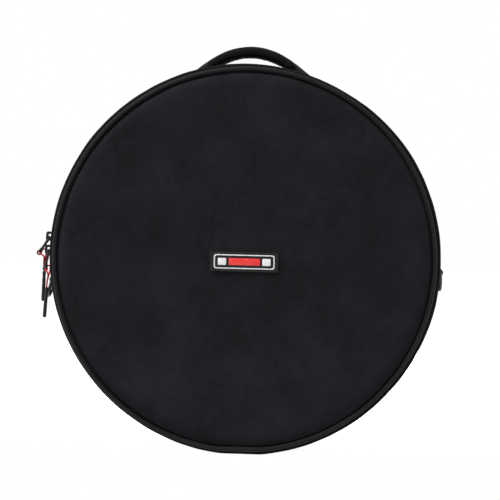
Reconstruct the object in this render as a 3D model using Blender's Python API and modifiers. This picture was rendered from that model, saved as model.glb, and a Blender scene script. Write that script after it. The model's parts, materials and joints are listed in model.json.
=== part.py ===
"""Round padded bag for a shallow drum, standing on its edge with its front lid zipped shut.

Metres, +Z up, the front faces -Y. The origin is the middle of the flat that the bag stands on.
Places round the bag are angles from the top, clockwise as seen from the front, in whole or part
facets of its rim. Heights along the bag's own axis grow towards the front.
"""

import math

import bmesh
import bpy
from mathutils import Matrix, Vector

# Overall size
BAG_RADIUS = 0.200
BAG_DEPTH = 0.195
LID_DEPTH = 0.046
RIM_FACETS = 60
FOOT_FACETS = 1
RUNNING_GAP = 0.0003

# Layers of the padded wall, from the outside in
SKIN = 0.0012
TAPE = 0.0008
FOAM = 0.009
LINING = 0.0008

# Rounded edge of the side band and of the two round panels
BAND_SHOULDER_LENGTH = 0.0092
BAND_SHOULDER_DROP = 0.0025
PANEL_SHOULDER_WIDTH = 0.014
PANEL_SHOULDER_DROP = 0.005
PANEL_TO_PIPING = 0.0007
SHOULDER_STEPS = 3

# Round cord sewn into the seam between panel and band
PIPING_RADIUS = 0.0029
PIPING_INSET = 0.0052
PIPING_SETBACK = 0.001
PIPING_SIDES = 6

# Zip
COIL_RADIUS = 0.00125
TAPE_WIDTH = 0.016
BAND_TO_ZIP = 0.005
FOAM_TO_ZIP = 0.009
LINING_TO_ZIP = 0.001
HINGE_FACETS = 3
ZIP_STOP_LENGTH = 0.010
ZIP_STOP_HEIGHT = 0.0022

# Tape folded over the seam inside
BINDING_THICKNESS = 0.0025
BINDING_WIDTH = 0.008

# Sliders
SLIDER_LENGTH = 0.0133
SLIDER_WIDTH = 0.0070
SLIDER_PLATE = 0.0014
SLIDER_OVER_COIL = 0.0006
FLANGE_THICKNESS = 0.0014
CROWN_LENGTH = 0.0092
CROWN_WIDTH = 0.0030
CROWN_BAR = 0.0020
CROWN_POST = 0.0018
CROWN_GAP = 0.0040
CROWN_CHAMFER = 0.0018
LOWER_SLIDER_HEIGHT = 0.0049

# Metal pull tabs
TAB_THICKNESS = 0.0020
TAB_LENGTH = 0.0198
TAB_HEAD_WIDTH = 0.0068
TAB_SIDE_BAR = 0.0013
TAB_WAIST = 0.0030
TAB_SLOT_END = 0.0056
TAB_KNOB_RADIUS = 0.0029
TAB_KNOB_THICKNESS = 0.0036
TAB_KNOB_CHAMFER = 0.0008
TAB_HOLE_RADIUS = 0.0014
UPPER_TAB_LEAN = 33
LOWER_TAB_LEAN = 10

# Pull cords and their rubber ends
CORD_RADIUS = 0.0008
CORD_POINT_STEP = 0.0040
RUBBER_RADIUS = 0.0017
RUBBER_LENGTH = 0.031
RUBBER_ROUNDING = 0.0005
UPPER_RUBBER_LEAN = 1.0
LOWER_RUBBER_LEAN = 3.0

# Each cord's route from the hole of its tab: outwards, forwards and up from the hole's centre
UPPER_CORD_ROUTE = (
    (-0.0049, -0.0058, -0.0197), (-0.0042, -0.0058, -0.0155), (-0.0044, -0.0044, -0.0110),
    (-0.0049, -0.0012, -0.0068), (-0.0051, 0.0020, -0.0038), (-0.0036, 0.0039, -0.0023),
    (-0.0014, 0.0035, -0.0010), (-0.0002, 0.0018, -0.0001), (0.0000, 0.0000, 0.0000),
    (0.0000, -0.0018, 0.0002), (-0.0010, -0.0042, 0.0018), (-0.0032, -0.0060, 0.0040),
    (-0.0054, -0.0070, 0.0029), (-0.0061, -0.0074, -0.0014), (-0.0052, -0.0074, -0.0080),
    (-0.0042, -0.0074, -0.0155), (-0.0049, -0.0074, -0.0197))
LOWER_CORD_ROUTE = (
    (-0.0022, 0.0023, -0.0198), (-0.0023, 0.0023, -0.0150), (-0.0029, 0.0026, -0.0105),
    (-0.0034, 0.0033, -0.0062), (-0.0024, 0.0040, -0.0028), (-0.0008, 0.0033, -0.0008),
    (0.0000, 0.0018, -0.0001), (0.0000, 0.0000, 0.0000), (0.0000, -0.0018, 0.0001),
    (-0.0005, -0.0035, 0.0010), (-0.0020, -0.0040, 0.0030), (-0.0041, -0.0034, 0.0033),
    (-0.0050, -0.0022, 0.0006), (-0.0044, -0.0008, -0.0040), (-0.0032, 0.0003, -0.0095),
    (-0.0023, 0.0007, -0.0150), (-0.0022, 0.0007, -0.0198))

# Carry handle
HANDLE_BEHIND_MIDDLE = 0.010
WEBBING_THICKNESS = 0.0022
WEBBING_WIDTH = 0.025
HANDLE_HALF_SPAN = 0.064
HANDLE_LIFT = 0.0210
HANDLE_END_LIFT = 0.0062
GRIP_HALF_LENGTH = 0.046
GRIP_THICKNESS = 0.0126
GRIP_END_THICKNESS = 0.0080
GRIP_WIDTH = 0.032
GRIP_ROUNDING = 0.0030
HANDLE_STEPS = 10
FOOT_REACH = 0.034
FOOT_LANDING = 0.012
ANCHOR_THICKNESS = 0.0010
ANCHOR_WIDTH = 0.040
ANCHOR_LENGTH = 0.036
ANCHOR_TO_STRAP = 0.0115

# D-rings and their webbing loops
RING_WIRE_RADIUS = 0.00175
RING_BAR_LENGTH = 0.0270
RING_DROP = 0.0180
RING_STAND_OFF = 0.0045
RING_BEHIND_MIDDLE = -0.025
RING_BOW_STEPS = 8
LOOP_WALL = 0.0012
LOOP_WIDTH = 0.0220
LOOP_TAIL_LENGTH = 0.0260
LOOP_TAIL_THICKNESS = 0.0024
LOOP_ARC_STEPS = 12
LEFT_RING_ANGLE = -97.5
LEFT_RING_LEAN = 15
RIGHT_RING_ANGLE = 92.5
RIGHT_RING_LEAN = 2

# Name plate
PLATE_WIDTH = 0.070
PLATE_HEIGHT = 0.0202
PLATE_THICKNESS = 0.0020
PLATE_CORNER = 0.0016
PLATE_BELOW_MIDDLE = 0.0032

# Worked out from the sizes above
FACET = math.tau / RIM_FACETS
MIDDLE_HEIGHT = BAG_RADIUS * math.cos(FOOT_FACETS * FACET)
FRONT = BAG_DEPTH / 2
ZIP_HEIGHT = FRONT - LID_DEPTH
HINGE_ANGLE = HINGE_FACETS * FACET
SKIN_INSIDE = BAG_RADIUS - SKIN
TAPE_OUTSIDE = SKIN_INSIDE - RUNNING_GAP
TAPE_INSIDE = TAPE_OUTSIDE - TAPE
FOAM_INSIDE = TAPE_OUTSIDE - RUNNING_GAP - TAPE - FOAM
LINING_OUTSIDE = FOAM_INSIDE - RUNNING_GAP
LINING_INSIDE = LINING_OUTSIDE - LINING
PANEL_FOAM_TOP = FRONT - SKIN - RUNNING_GAP
PANEL_FOAM_BOTTOM = PANEL_FOAM_TOP - FOAM
PANEL_LINING_TOP = PANEL_FOAM_BOTTOM - RUNNING_GAP
PANEL_LINING_BOTTOM = PANEL_LINING_TOP - LINING
PIPING_RING_RADIUS = BAG_RADIUS - PIPING_INSET
PANEL_RADIUS = PIPING_RING_RADIUS - PIPING_RADIUS - PANEL_TO_PIPING
PIPING_HEIGHT = FRONT - PIPING_SETBACK - PIPING_RADIUS
BAND_END = PIPING_HEIGHT - PIPING_RADIUS
COIL_RING_RADIUS = TAPE_OUTSIDE + RUNNING_GAP + COIL_RADIUS
COIL_OUTSIDE = COIL_RING_RADIUS + COIL_RADIUS
PLATE_UNDERSIDE = COIL_OUTSIDE + SLIDER_OVER_COIL
PLATE_TOP = PLATE_UNDERSIDE + SLIDER_PLATE
CROWN_TOP = PLATE_TOP + CROWN_GAP + CROWN_BAR
TAB_PIVOT_RADIUS = PLATE_TOP + CROWN_GAP / 2
TAB_PIVOT_SHIFT = CROWN_LENGTH / 2 - CROWN_POST - CROWN_GAP / 2
ZIP_Y = -ZIP_HEIGHT
LOWER_SLIDER_ANGLE = -math.acos(LOWER_SLIDER_HEIGHT / PLATE_TOP)
SLIDER_SPACING_ANGLE = 2 * math.atan((SLIDER_LENGTH + RUNNING_GAP) / 2 / PLATE_UNDERSIDE)
UPPER_SLIDER_ANGLE = LOWER_SLIDER_ANGLE + SLIDER_SPACING_ANGLE


def clear_scene():
    for obj in list(bpy.data.objects):
        bpy.data.objects.remove(obj, do_unlink=True)


def new_collection(name):
    collection = bpy.data.collections.new(name)
    bpy.context.scene.collection.children.link(collection)
    return collection


def new_material(name, colour, roughness, metallic=0.0):
    material = bpy.data.materials.new(name)
    material.use_nodes = True
    shader = material.node_tree.nodes["Principled BSDF"]
    shader.inputs["Base Color"].default_value = (*colour, 1.0)
    shader.inputs["Roughness"].default_value = roughness
    shader.inputs["Metallic"].default_value = metallic
    return material


def place(obj, collection, material):
    collection.objects.link(obj)
    obj.data.materials.append(material)
    return obj


def object_from(bm, name, collection, material):
    mesh = bpy.data.meshes.new(name)
    bm.to_mesh(mesh)
    bm.free()
    return place(bpy.data.objects.new(name, mesh), collection, material)


def evaluated_mesh(obj):
    bpy.context.view_layer.update()
    evaluated = obj.evaluated_get(bpy.context.evaluated_depsgraph_get())
    return bpy.data.meshes.new_from_object(evaluated)


def made_mesh(obj, collection, material):
    """Replaces an object by a plain mesh of what its modifiers or bevel make, caps welded."""
    name = obj.name
    mesh = evaluated_mesh(obj)
    matrix = obj.matrix_world.copy()
    bpy.data.objects.remove(obj, do_unlink=True)
    bm = bmesh.new()
    bm.from_mesh(mesh)
    bmesh.ops.remove_doubles(bm, verts=bm.verts, dist=1e-6)
    bpy.data.meshes.remove(mesh)
    solid = object_from(bm, name, collection, material)
    solid.matrix_world = matrix
    return solid


def round_smooth(obj):
    obj.data.shade_smooth()
    obj.data.set_sharp_from_angle(angle=math.radians(40))


def foot_rise(x):
    """How far the round wall is pushed up where the bag's weight flattens it."""
    inside = BAG_RADIUS ** 2 - x ** 2
    return max(0.0, math.sqrt(max(0.0, inside)) - MIDDLE_HEIGHT)


def stand_on_foot(obj):
    """Flattens the lowest stretch of a piece of the round wall, by the same rise in each layer."""
    to_bag = obj.matrix_world.copy()
    to_piece = to_bag.inverted()
    for vertex in obj.data.vertices:
        point = to_bag @ vertex.co
        if point.z < MIDDLE_HEIGHT / 2:
            point.z += foot_rise(point.x)
            vertex.co = to_piece @ point


def mirrored(profile):
    """The same profile for the rear: heights change sign, and the order is turned round."""
    return [(radius, -height) for radius, height in reversed(profile)]


def turned(name, profile, collection, material, closed=True):
    """A piece turned about the bag's axis from (radius, height) points that run down its outside."""
    mesh = bpy.data.meshes.new(name)
    last = len(profile)
    edges = [(i, i + 1) for i in range(last - 1)]
    if closed:
        edges.append((last - 1, 0))
    mesh.from_pydata([(radius, 0, height) for radius, height in profile], edges, [])
    obj = place(bpy.data.objects.new(name, mesh), collection, material)
    obj.location = (0, 0, MIDDLE_HEIGHT)
    obj.rotation_euler = (math.pi / 2, 0, 0)
    screw = obj.modifiers.new("turned", "SCREW")
    screw.axis = "Z"
    screw.steps = screw.render_steps = RIM_FACETS
    screw.use_merge_vertices = True
    screw.merge_threshold = 0.00001
    obj = made_mesh(obj, collection, material)
    stand_on_foot(obj)
    round_smooth(obj)
    return obj


def swept(name, profile, start, end, collection, material):
    """A piece with a (radius, height) section swept round the bag's axis between two angles."""
    bm = bmesh.new()
    points = [(r * math.sin(start), -h, r * math.cos(start)) for r, h in profile]
    bm.faces.new([bm.verts.new(point) for point in points])
    steps = max(2, round((end - start) / FACET))
    bmesh.ops.spin(bm, geom=bm.verts[:] + bm.edges[:] + bm.faces[:], cent=(0, 0, 0),
                   axis=(0, 1, 0), angle=end - start, steps=steps)
    bmesh.ops.recalc_face_normals(bm, faces=bm.faces)
    obj = object_from(bm, name, collection, material)
    obj.location = (0, 0, MIDDLE_HEIGHT)
    bpy.context.view_layer.update()
    stand_on_foot(obj)
    return obj


def box(inner, outer, low, high):
    """A four-cornered section between two radii and two heights."""
    return [(outer, high), (outer, low), (inner, low), (inner, high)]


def circle_section(ring_radius, height, radius, sides):
    turns = [math.tau * i / sides for i in range(sides)]
    return [(ring_radius + radius * math.cos(t), height - radius * math.sin(t)) for t in turns]


def extruded(name, outlines, thickness, collection, material):
    """A flat piece in its own XY plane from closed outlines; the ones inside another are holes."""
    curve = bpy.data.curves.new(name, "CURVE")
    curve.dimensions = "2D"
    curve.fill_mode = "BOTH"
    curve.extrude = thickness / 2
    for outline in outlines:
        spline = curve.splines.new("POLY")
        spline.points.add(len(outline) - 1)
        for point, (u, v) in zip(spline.points, outline):
            point.co = (u, v, 0, 1)
        spline.use_cyclic_u = True
    obj = place(bpy.data.objects.new(name, curve), collection, material)
    return made_mesh(obj, collection, material)


def tube(name, points, radius, collection, material, cyclic=False):
    """A round wire along points."""
    curve = bpy.data.curves.new(name, "CURVE")
    curve.dimensions = "3D"
    curve.bevel_depth = radius
    curve.bevel_resolution = 2
    curve.use_fill_caps = not cyclic
    spline = curve.splines.new("POLY")
    spline.points.add(len(points) - 1)
    for point, place_of in zip(spline.points, points):
        point.co = (*place_of, 1)
    spline.use_cyclic_u = cyclic
    return place(bpy.data.objects.new(name, curve), collection, material)


def block(name, low, high, collection, material):
    """A box between two corners."""
    bm = bmesh.new()
    bmesh.ops.create_cube(bm, size=1)
    low, high = Vector(low), Vector(high)
    bmesh.ops.scale(bm, verts=bm.verts, vec=high - low)
    bmesh.ops.translate(bm, verts=bm.verts, vec=(low + high) / 2)
    return object_from(bm, name, collection, material)


def add_boolean(obj, other, operation, cutters):
    modifier = obj.modifiers.new(operation.lower(), "BOOLEAN")
    modifier.operation = operation
    modifier.solver = "EXACT"
    modifier.object = other
    other.hide_render = True
    other.display_type = "WIRE"
    for collection in list(other.users_collection):
        collection.objects.unlink(other)
    cutters.objects.link(other)


def pivot_empty(name, location, collection):
    """An empty on a joint's axis, which its moving pieces are parented to."""
    empty = bpy.data.objects.new(name, None)
    empty.location = location
    collection.objects.link(empty)
    return empty


def hang_on(piece, empty):
    """Parents a piece that is modelled about the empty's own place."""
    piece.parent = empty
    piece.matrix_parent_inverse = Matrix.Identity(4)


def rim_point(radius, angle):
    return radius * math.sin(angle), MIDDLE_HEIGHT + radius * math.cos(angle)


# Padded wall

def panel_profile(top, bottom, radius, drop_bottom):
    """A round panel whose outside curves back at its edge; its inside is flat or follows it."""
    turns = [math.pi / 2 * i / SHOULDER_STEPS for i in range(SHOULDER_STEPS + 1)]
    reach = radius - PANEL_SHOULDER_WIDTH
    outside = [(reach + PANEL_SHOULDER_WIDTH * math.sin(t),
                top - PANEL_SHOULDER_DROP * (1 - math.cos(t))) for t in turns]
    if not drop_bottom:
        return [(0, top)] + outside + [(radius, bottom), (0, bottom)]
    inner_width = PANEL_SHOULDER_WIDTH - (top - bottom)
    inside = [(reach + inner_width * math.sin(t),
               bottom - PANEL_SHOULDER_DROP * (1 - math.cos(t))) for t in reversed(turns)]
    return [(0, top)] + outside + inside + [(0, bottom)]


def band_profile(low):
    """The side band's skin, from the zip to the rounded edge at the piping."""
    turns = [math.pi / 2 * i / SHOULDER_STEPS for i in range(SHOULDER_STEPS + 1)]
    start = BAND_END - BAND_SHOULDER_LENGTH
    edge = [(BAG_RADIUS - BAND_SHOULDER_DROP * (1 - math.cos(t)),
             start + BAND_SHOULDER_LENGTH * math.sin(t)) for t in turns]
    outside = [(BAG_RADIUS, low)] + edge
    inside = [(radius - SKIN, height) for radius, height in outside]
    return inside + outside[::-1]


def band_foam_profile(zip_edge, tape_edge):
    """The side band's foam, thinner where the zip tape lies on it."""
    end = PANEL_LINING_TOP
    chamfer = end - BAND_SHOULDER_LENGTH / 2
    under_tape = TAPE_INSIDE - RUNNING_GAP
    at_end = TAPE_OUTSIDE - BAND_SHOULDER_DROP / 2
    return [(FOAM_INSIDE, end), (at_end, end), (TAPE_OUTSIDE, chamfer), (TAPE_OUTSIDE, tape_edge),
            (under_tape, tape_edge), (under_tape, zip_edge), (FOAM_INSIDE, zip_edge)]


def build_shell(parts, m):
    """Both halves of the padded wall: the lid is the shallow one in front, the body the deep one."""
    skin = panel_profile(FRONT, FRONT - SKIN, PANEL_RADIUS, True)
    pad = panel_profile(PANEL_FOAM_TOP, PANEL_FOAM_BOTTOM, PANEL_RADIUS - 2 * SKIN, False)
    lining_radius = LINING_INSIDE - RUNNING_GAP
    lining = [(0, PANEL_LINING_TOP), (lining_radius, PANEL_LINING_TOP),
              (lining_radius, PANEL_LINING_BOTTOM), (0, PANEL_LINING_BOTTOM)]
    binding_top = PANEL_LINING_BOTTOM - RUNNING_GAP
    binding = box(lining_radius - BINDING_THICKNESS, lining_radius,
                  binding_top - BINDING_WIDTH, binding_top)
    bead = circle_section(PIPING_RING_RADIUS, PIPING_HEIGHT, PIPING_RADIUS, PIPING_SIDES)
    for half, turn in (("front", list), ("rear", mirrored)):
        turned(f"{half}_panel", turn(skin), parts, m["panel"], closed=False)
        turned(f"{half}_panel_foam", turn(pad), parts, m["foam"], closed=False)
        turned(f"{half}_panel_lining", turn(lining), parts, m["lining"], closed=False)
        turned(f"{half}_seam_binding", turn(binding), parts, m["binding"])
        turned(f"{half}_piping", turn(bead), parts, m["piping"])
    for half, turn, seam in (("lid", list, ZIP_HEIGHT), ("body", mirrored, -ZIP_HEIGHT)):
        band = band_profile(seam + BAND_TO_ZIP)
        foam = band_foam_profile(seam + FOAM_TO_ZIP, seam + TAPE_WIDTH + RUNNING_GAP)
        inner = box(LINING_INSIDE, LINING_OUTSIDE, seam + LINING_TO_ZIP, PANEL_LINING_TOP)
        turned(f"{half}_side_band", turn(band), parts, m["band"])
        turned(f"{half}_band_foam", turn(foam), parts, m["foam"])
        turned(f"{half}_band_lining", turn(inner), parts, m["lining"])


# Zip, its stops and the fabric hinge below it

def build_zip(parts, m):
    zip_end = math.pi - HINGE_ANGLE
    hinge_slack = RUNNING_GAP / TAPE_OUTSIDE
    for half, side in (("lid", 1), ("body", -1)):
        near = ZIP_HEIGHT + side * RUNNING_GAP / 2
        far = ZIP_HEIGHT + side * TAPE_WIDTH
        low, high = min(near, far), max(near, far)
        tape = box(TAPE_INSIDE, TAPE_OUTSIDE, low, high)
        swept(f"{half}_zip_tape", tape, -zip_end, zip_end, parts, m["tape"])
        swept(f"{half}_hinge_leaf", tape, zip_end + hinge_slack, math.tau - zip_end - hinge_slack,
              parts, m["tape"])
        coil_height = near + side * COIL_RADIUS
        coil = circle_section(COIL_RING_RADIUS, coil_height, COIL_RADIUS, PIPING_SIDES)
        swept(f"{half}_zip_coil", coil, -zip_end, zip_end, parts, m["coil"])
    stop_inside = TAPE_OUTSIDE + RUNNING_GAP
    stop = box(stop_inside, stop_inside + ZIP_STOP_HEIGHT,
               ZIP_HEIGHT - BAND_TO_ZIP + RUNNING_GAP, ZIP_HEIGHT - RUNNING_GAP)
    stop_start = zip_end + hinge_slack
    stop_end = stop_start + ZIP_STOP_LENGTH / TAPE_OUTSIDE
    swept("zip_stop_right", stop, stop_start, stop_end, parts, m["band"])
    swept("zip_stop_left", stop, math.tau - stop_end, math.tau - stop_start, parts, m["band"])


# Sliders, tabs, pull cords and rubber ends

def build_slider(name, angle, parts, cutters, m):
    """Plate over both coils, a flange behind the body's coil and a crown for the tab."""
    empty = pivot_empty(f"{name}_axis", (0, ZIP_Y, MIDDLE_HEIGHT), parts)
    empty.rotation_euler = (0, angle, 0)
    half_length, half_width = SLIDER_LENGTH / 2, SLIDER_WIDTH / 2
    slider = block(name, (-half_length, -half_width, PLATE_UNDERSIDE),
                   (half_length, half_width, PLATE_TOP), parts, m["slider"])
    behind_coil = RUNNING_GAP / 2 + 2 * COIL_RADIUS + RUNNING_GAP
    overrun = SLIDER_PLATE / 2
    flange = block(f"{name}_flange", (-half_length, behind_coil, TAPE_OUTSIDE + RUNNING_GAP),
                   (half_length, behind_coil + FLANGE_THICKNESS, PLATE_UNDERSIDE + overrun),
                   parts, m["slider"])
    half_crown = CROWN_LENGTH / 2
    root = PLATE_TOP - overrun
    arch = [(-half_crown, root), (half_crown, root), (half_crown, CROWN_TOP - CROWN_CHAMFER),
            (half_crown - CROWN_CHAMFER, CROWN_TOP), (CROWN_CHAMFER - half_crown, CROWN_TOP),
            (-half_crown, CROWN_TOP - CROWN_CHAMFER)]
    inner = half_crown - CROWN_POST
    ceiling = PLATE_TOP + CROWN_GAP
    hole = [(-inner, PLATE_TOP), (inner, PLATE_TOP), (inner, ceiling), (-inner, ceiling)]
    crown = extruded(f"{name}_crown", [arch, hole], CROWN_WIDTH, parts, m["slider"])
    crown.data.transform(Matrix.Rotation(math.pi / 2, 4, "X"))
    add_boolean(slider, flange, "UNION", cutters)
    add_boolean(slider, crown, "UNION", cutters)
    for piece in (slider, flange, crown):
        hang_on(piece, empty)
    return empty


def tab_pivot(angle):
    """The cross bar's place under the crown, at its end towards the lower slider."""
    along = -TAB_PIVOT_SHIFT
    x = along * math.cos(angle) + TAB_PIVOT_RADIUS * math.sin(angle)
    z = -along * math.sin(angle) + TAB_PIVOT_RADIUS * math.cos(angle)
    return Vector((x, ZIP_Y, MIDDLE_HEIGHT + z))


def build_tab(name, angle, lean, parts, cutters, m):
    """A flat tab that hangs down from its cross bar, with a knob drilled from front to back."""
    empty = pivot_empty(f"{name}_axis", tab_pivot(angle), parts)
    empty.rotation_euler = (0, math.radians(lean), 0)
    head, waist, top = TAB_HEAD_WIDTH / 2, TAB_WAIST / 2, TAB_THICKNESS / 2
    slot = head - TAB_SIDE_BAR
    outline = [(head, top), (head, -TAB_SLOT_END), (waist, -TAB_SLOT_END - head),
               (waist, -TAB_LENGTH), (-waist, -TAB_LENGTH), (-waist, -TAB_SLOT_END - head),
               (-head, -TAB_SLOT_END), (-head, top)]
    opening = [(slot, -top), (slot, -TAB_SLOT_END), (-slot, -TAB_SLOT_END), (-slot, -top)]
    tab = extruded(name, [outline, opening], TAB_THICKNESS, parts, m["metal"])
    knob_turns = [math.tau * i / LOOP_ARC_STEPS for i in range(LOOP_ARC_STEPS)]
    rim = [(TAB_KNOB_RADIUS * math.cos(t), TAB_KNOB_RADIUS * math.sin(t) - TAB_LENGTH)
           for t in knob_turns]
    bore = [(TAB_HOLE_RADIUS * math.cos(t), TAB_HOLE_RADIUS * math.sin(t) - TAB_LENGTH)
            for t in knob_turns]
    knob = extruded(f"{name}_knob", [rim], TAB_KNOB_THICKNESS, parts, m["metal"])
    drill = extruded(f"{name}_hole", [bore], 2 * TAB_KNOB_THICKNESS, parts, m["metal"])
    chamfer = knob.modifiers.new("chamfer", "BEVEL")
    chamfer.width = TAB_KNOB_CHAMFER
    chamfer.segments = 1
    chamfer.limit_method = "ANGLE"
    chamfer.angle_limit = math.radians(50)
    tab.data.transform(Matrix(((0, 0, 1, 0), (1, 0, 0, 0), (0, 1, 0, 0), (0, 0, 0, 1))))
    for piece in (knob, drill):
        piece.data.transform(Matrix.Rotation(math.pi / 2, 4, "X"))
    for piece in (tab, knob, drill):
        hang_on(piece, empty)
    add_boolean(tab, knob, "UNION", cutters)
    add_boolean(tab, drill, "DIFFERENCE", cutters)


def smooth_route(points, step):
    """Points about one step apart on a smooth curve through a route's own points."""
    padded = [2 * points[0] - points[1], *points, 2 * points[-1] - points[-2]]
    route = [points[0]]
    for i in range(1, len(padded) - 2):
        p0, p1, p2, p3 = padded[i - 1:i + 3]
        count = max(1, round((p2 - p1).length / step))
        for k in range(1, count + 1):
            t = k / count
            route.append(0.5 * (2 * p1 + (p2 - p0) * t + (2 * p0 - 5 * p1 + 4 * p2 - p3) * t ** 2
                                + (3 * p1 - p0 - 3 * p2 + p3) * t ** 3))
    return route


def tab_hole(angle, lean):
    turn = math.radians(lean)
    return tab_pivot(angle) + Vector((-math.sin(turn), 0, -math.cos(turn))) * TAB_LENGTH


def build_pull(name, angle, tab_lean, route, rubber_lean, parts, m):
    """The cord looped through the tab's hole, and the rubber end that both its ends go into."""
    hole = tab_hole(angle, tab_lean)
    empty = pivot_empty(f"{name}_axis", hole, parts)
    points = [Vector((-out, -forward, up)) for out, forward, up in route]
    cord = tube(f"{name}_cord", smooth_route(points, CORD_POINT_STEP), CORD_RADIUS, parts, m["cord"])
    hang_on(cord, empty)
    bm = bmesh.new()
    bmesh.ops.create_cone(bm, cap_ends=True, segments=12, radius1=RUBBER_RADIUS,
                          radius2=RUBBER_RADIUS, depth=RUBBER_LENGTH)
    rims = [edge for edge in bm.edges if abs(edge.verts[0].co.z - edge.verts[1].co.z) < RUNNING_GAP]
    bmesh.ops.bevel(bm, geom=rims, offset=RUBBER_ROUNDING, segments=1, affect="EDGES")
    bmesh.ops.translate(bm, verts=bm.verts, vec=(0, 0, -RUBBER_LENGTH / 2 - RUNNING_GAP))
    rubber = object_from(bm, f"{name}_rubber_end", parts, m["rubber"])
    rubber.location = (points[0] + points[-1]) / 2
    rubber.rotation_euler = (0, math.radians(rubber_lean), 0)
    round_smooth(rubber)
    hang_on(rubber, empty)


# Carry handle

def band_height(x):
    return MIDDLE_HEIGHT + math.sqrt(BAG_RADIUS ** 2 - x ** 2)


def handle_height(x):
    """Height of the strap's middle: an arch that flattens towards the two ends."""
    share = max(0.0, 1 - (x / HANDLE_HALF_SPAN) ** 2)
    return band_height(x) + HANDLE_END_LIFT + (HANDLE_LIFT - HANDLE_END_LIFT) * share ** 1.5


def foot_height(x):
    """Height of a sewn foot's middle: from the strap's end down onto the anchor patch."""
    on_patch = RUNNING_GAP + ANCHOR_THICKNESS + RUNNING_GAP + WEBBING_THICKNESS / 2
    share = min(1.0, (x - HANDLE_HALF_SPAN) / FOOT_LANDING)
    ease = share * share * (3 - 2 * share)
    radius = math.hypot(x, band_height(x) - MIDDLE_HEIGHT)
    landed = MIDDLE_HEIGHT + math.sqrt((radius + on_patch) ** 2 - x ** 2)
    return band_height(x) + HANDLE_END_LIFT * (1 - ease) + (landed - band_height(x)) * ease


def strap(name, height_at, start, end, thickness_at, width, collection, material):
    """A strap across the bag's depth whose side view follows a height, with upright end faces."""
    step = (end - start) / HANDLE_STEPS
    xs = [start + step * i for i in range(HANDLE_STEPS + 1)]
    upper, lower = [], []
    for x in xs:
        nearby = min(max(x, start + step), end - step)
        slope = (height_at(nearby + step / 2) - height_at(nearby - step / 2)) / step
        half = thickness_at(x) / 2 * math.hypot(1, slope)
        upper.append((x, height_at(x) + half))
        lower.append((x, height_at(x) - half))
    piece = extruded(name, [upper + lower[::-1]], width, collection, material)
    piece.data.transform(Matrix.Rotation(math.pi / 2, 4, "X"))
    return piece


def moved_origin(piece, origin):
    piece.data.transform(Matrix.Translation(-origin))
    piece.location = origin


def webbing_thickness(_x):
    return WEBBING_THICKNESS


def grip_thickness(x):
    share = (x / GRIP_HALF_LENGTH) ** 2
    return GRIP_THICKNESS + (GRIP_END_THICKNESS - GRIP_THICKNESS) * share


def slot_thickness(_x):
    return WEBBING_THICKNESS + 2 * RUNNING_GAP


def build_handle(parts, cutters, m):
    """The loose strap, the padded grip round it, the sewn feet and the patches under them."""
    axis = Vector((0, HANDLE_BEHIND_MIDDLE, handle_height(HANDLE_HALF_SPAN)))
    deep = Matrix.Translation((0, HANDLE_BEHIND_MIDDLE, 0))
    webbing = strap("handle_webbing", handle_height, -HANDLE_HALF_SPAN, HANDLE_HALF_SPAN,
                    webbing_thickness, WEBBING_WIDTH, parts, m["webbing"])
    grip = strap("handle_grip", handle_height, -GRIP_HALF_LENGTH, GRIP_HALF_LENGTH,
                 grip_thickness, GRIP_WIDTH, parts, m["grip"])
    slot = strap("handle_grip_slot", handle_height, -HANDLE_HALF_SPAN, HANDLE_HALF_SPAN,
                 slot_thickness, WEBBING_WIDTH + 2 * RUNNING_GAP, parts, m["grip"])
    for piece in (webbing, grip, slot):
        piece.data.transform(deep)
        moved_origin(piece, axis)
    bevel = grip.modifiers.new("rounded", "BEVEL")
    bevel.width = GRIP_ROUNDING
    bevel.segments = 2
    bevel.limit_method = "ANGLE"
    bevel.angle_limit = math.radians(50)
    add_boolean(grip, slot, "DIFFERENCE", cutters)
    foot_end = HANDLE_HALF_SPAN + FOOT_REACH
    for side, word in ((-1, "left"), (1, "right")):
        foot = strap(f"handle_foot_{word}", foot_height, HANDLE_HALF_SPAN + RUNNING_GAP, foot_end,
                     webbing_thickness, WEBBING_WIDTH, parts, m["webbing"])
        foot.data.transform(deep)
        if side < 0:
            foot.data.transform(Matrix.Diagonal((-1, 1, 1, 1)))
            foot.data.flip_normals()
        start = math.asin((HANDLE_HALF_SPAN + ANCHOR_TO_STRAP) / BAG_RADIUS)
        end = start + ANCHOR_LENGTH / BAG_RADIUS
        inside = BAG_RADIUS + RUNNING_GAP
        patch = box(inside, inside + ANCHOR_THICKNESS, -HANDLE_BEHIND_MIDDLE - ANCHOR_WIDTH / 2,
                    -HANDLE_BEHIND_MIDDLE + ANCHOR_WIDTH / 2)
        swept(f"handle_anchor_{word}", patch, min(side * start, side * end),
              max(side * start, side * end), parts, m["band"])


# D-rings

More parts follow.
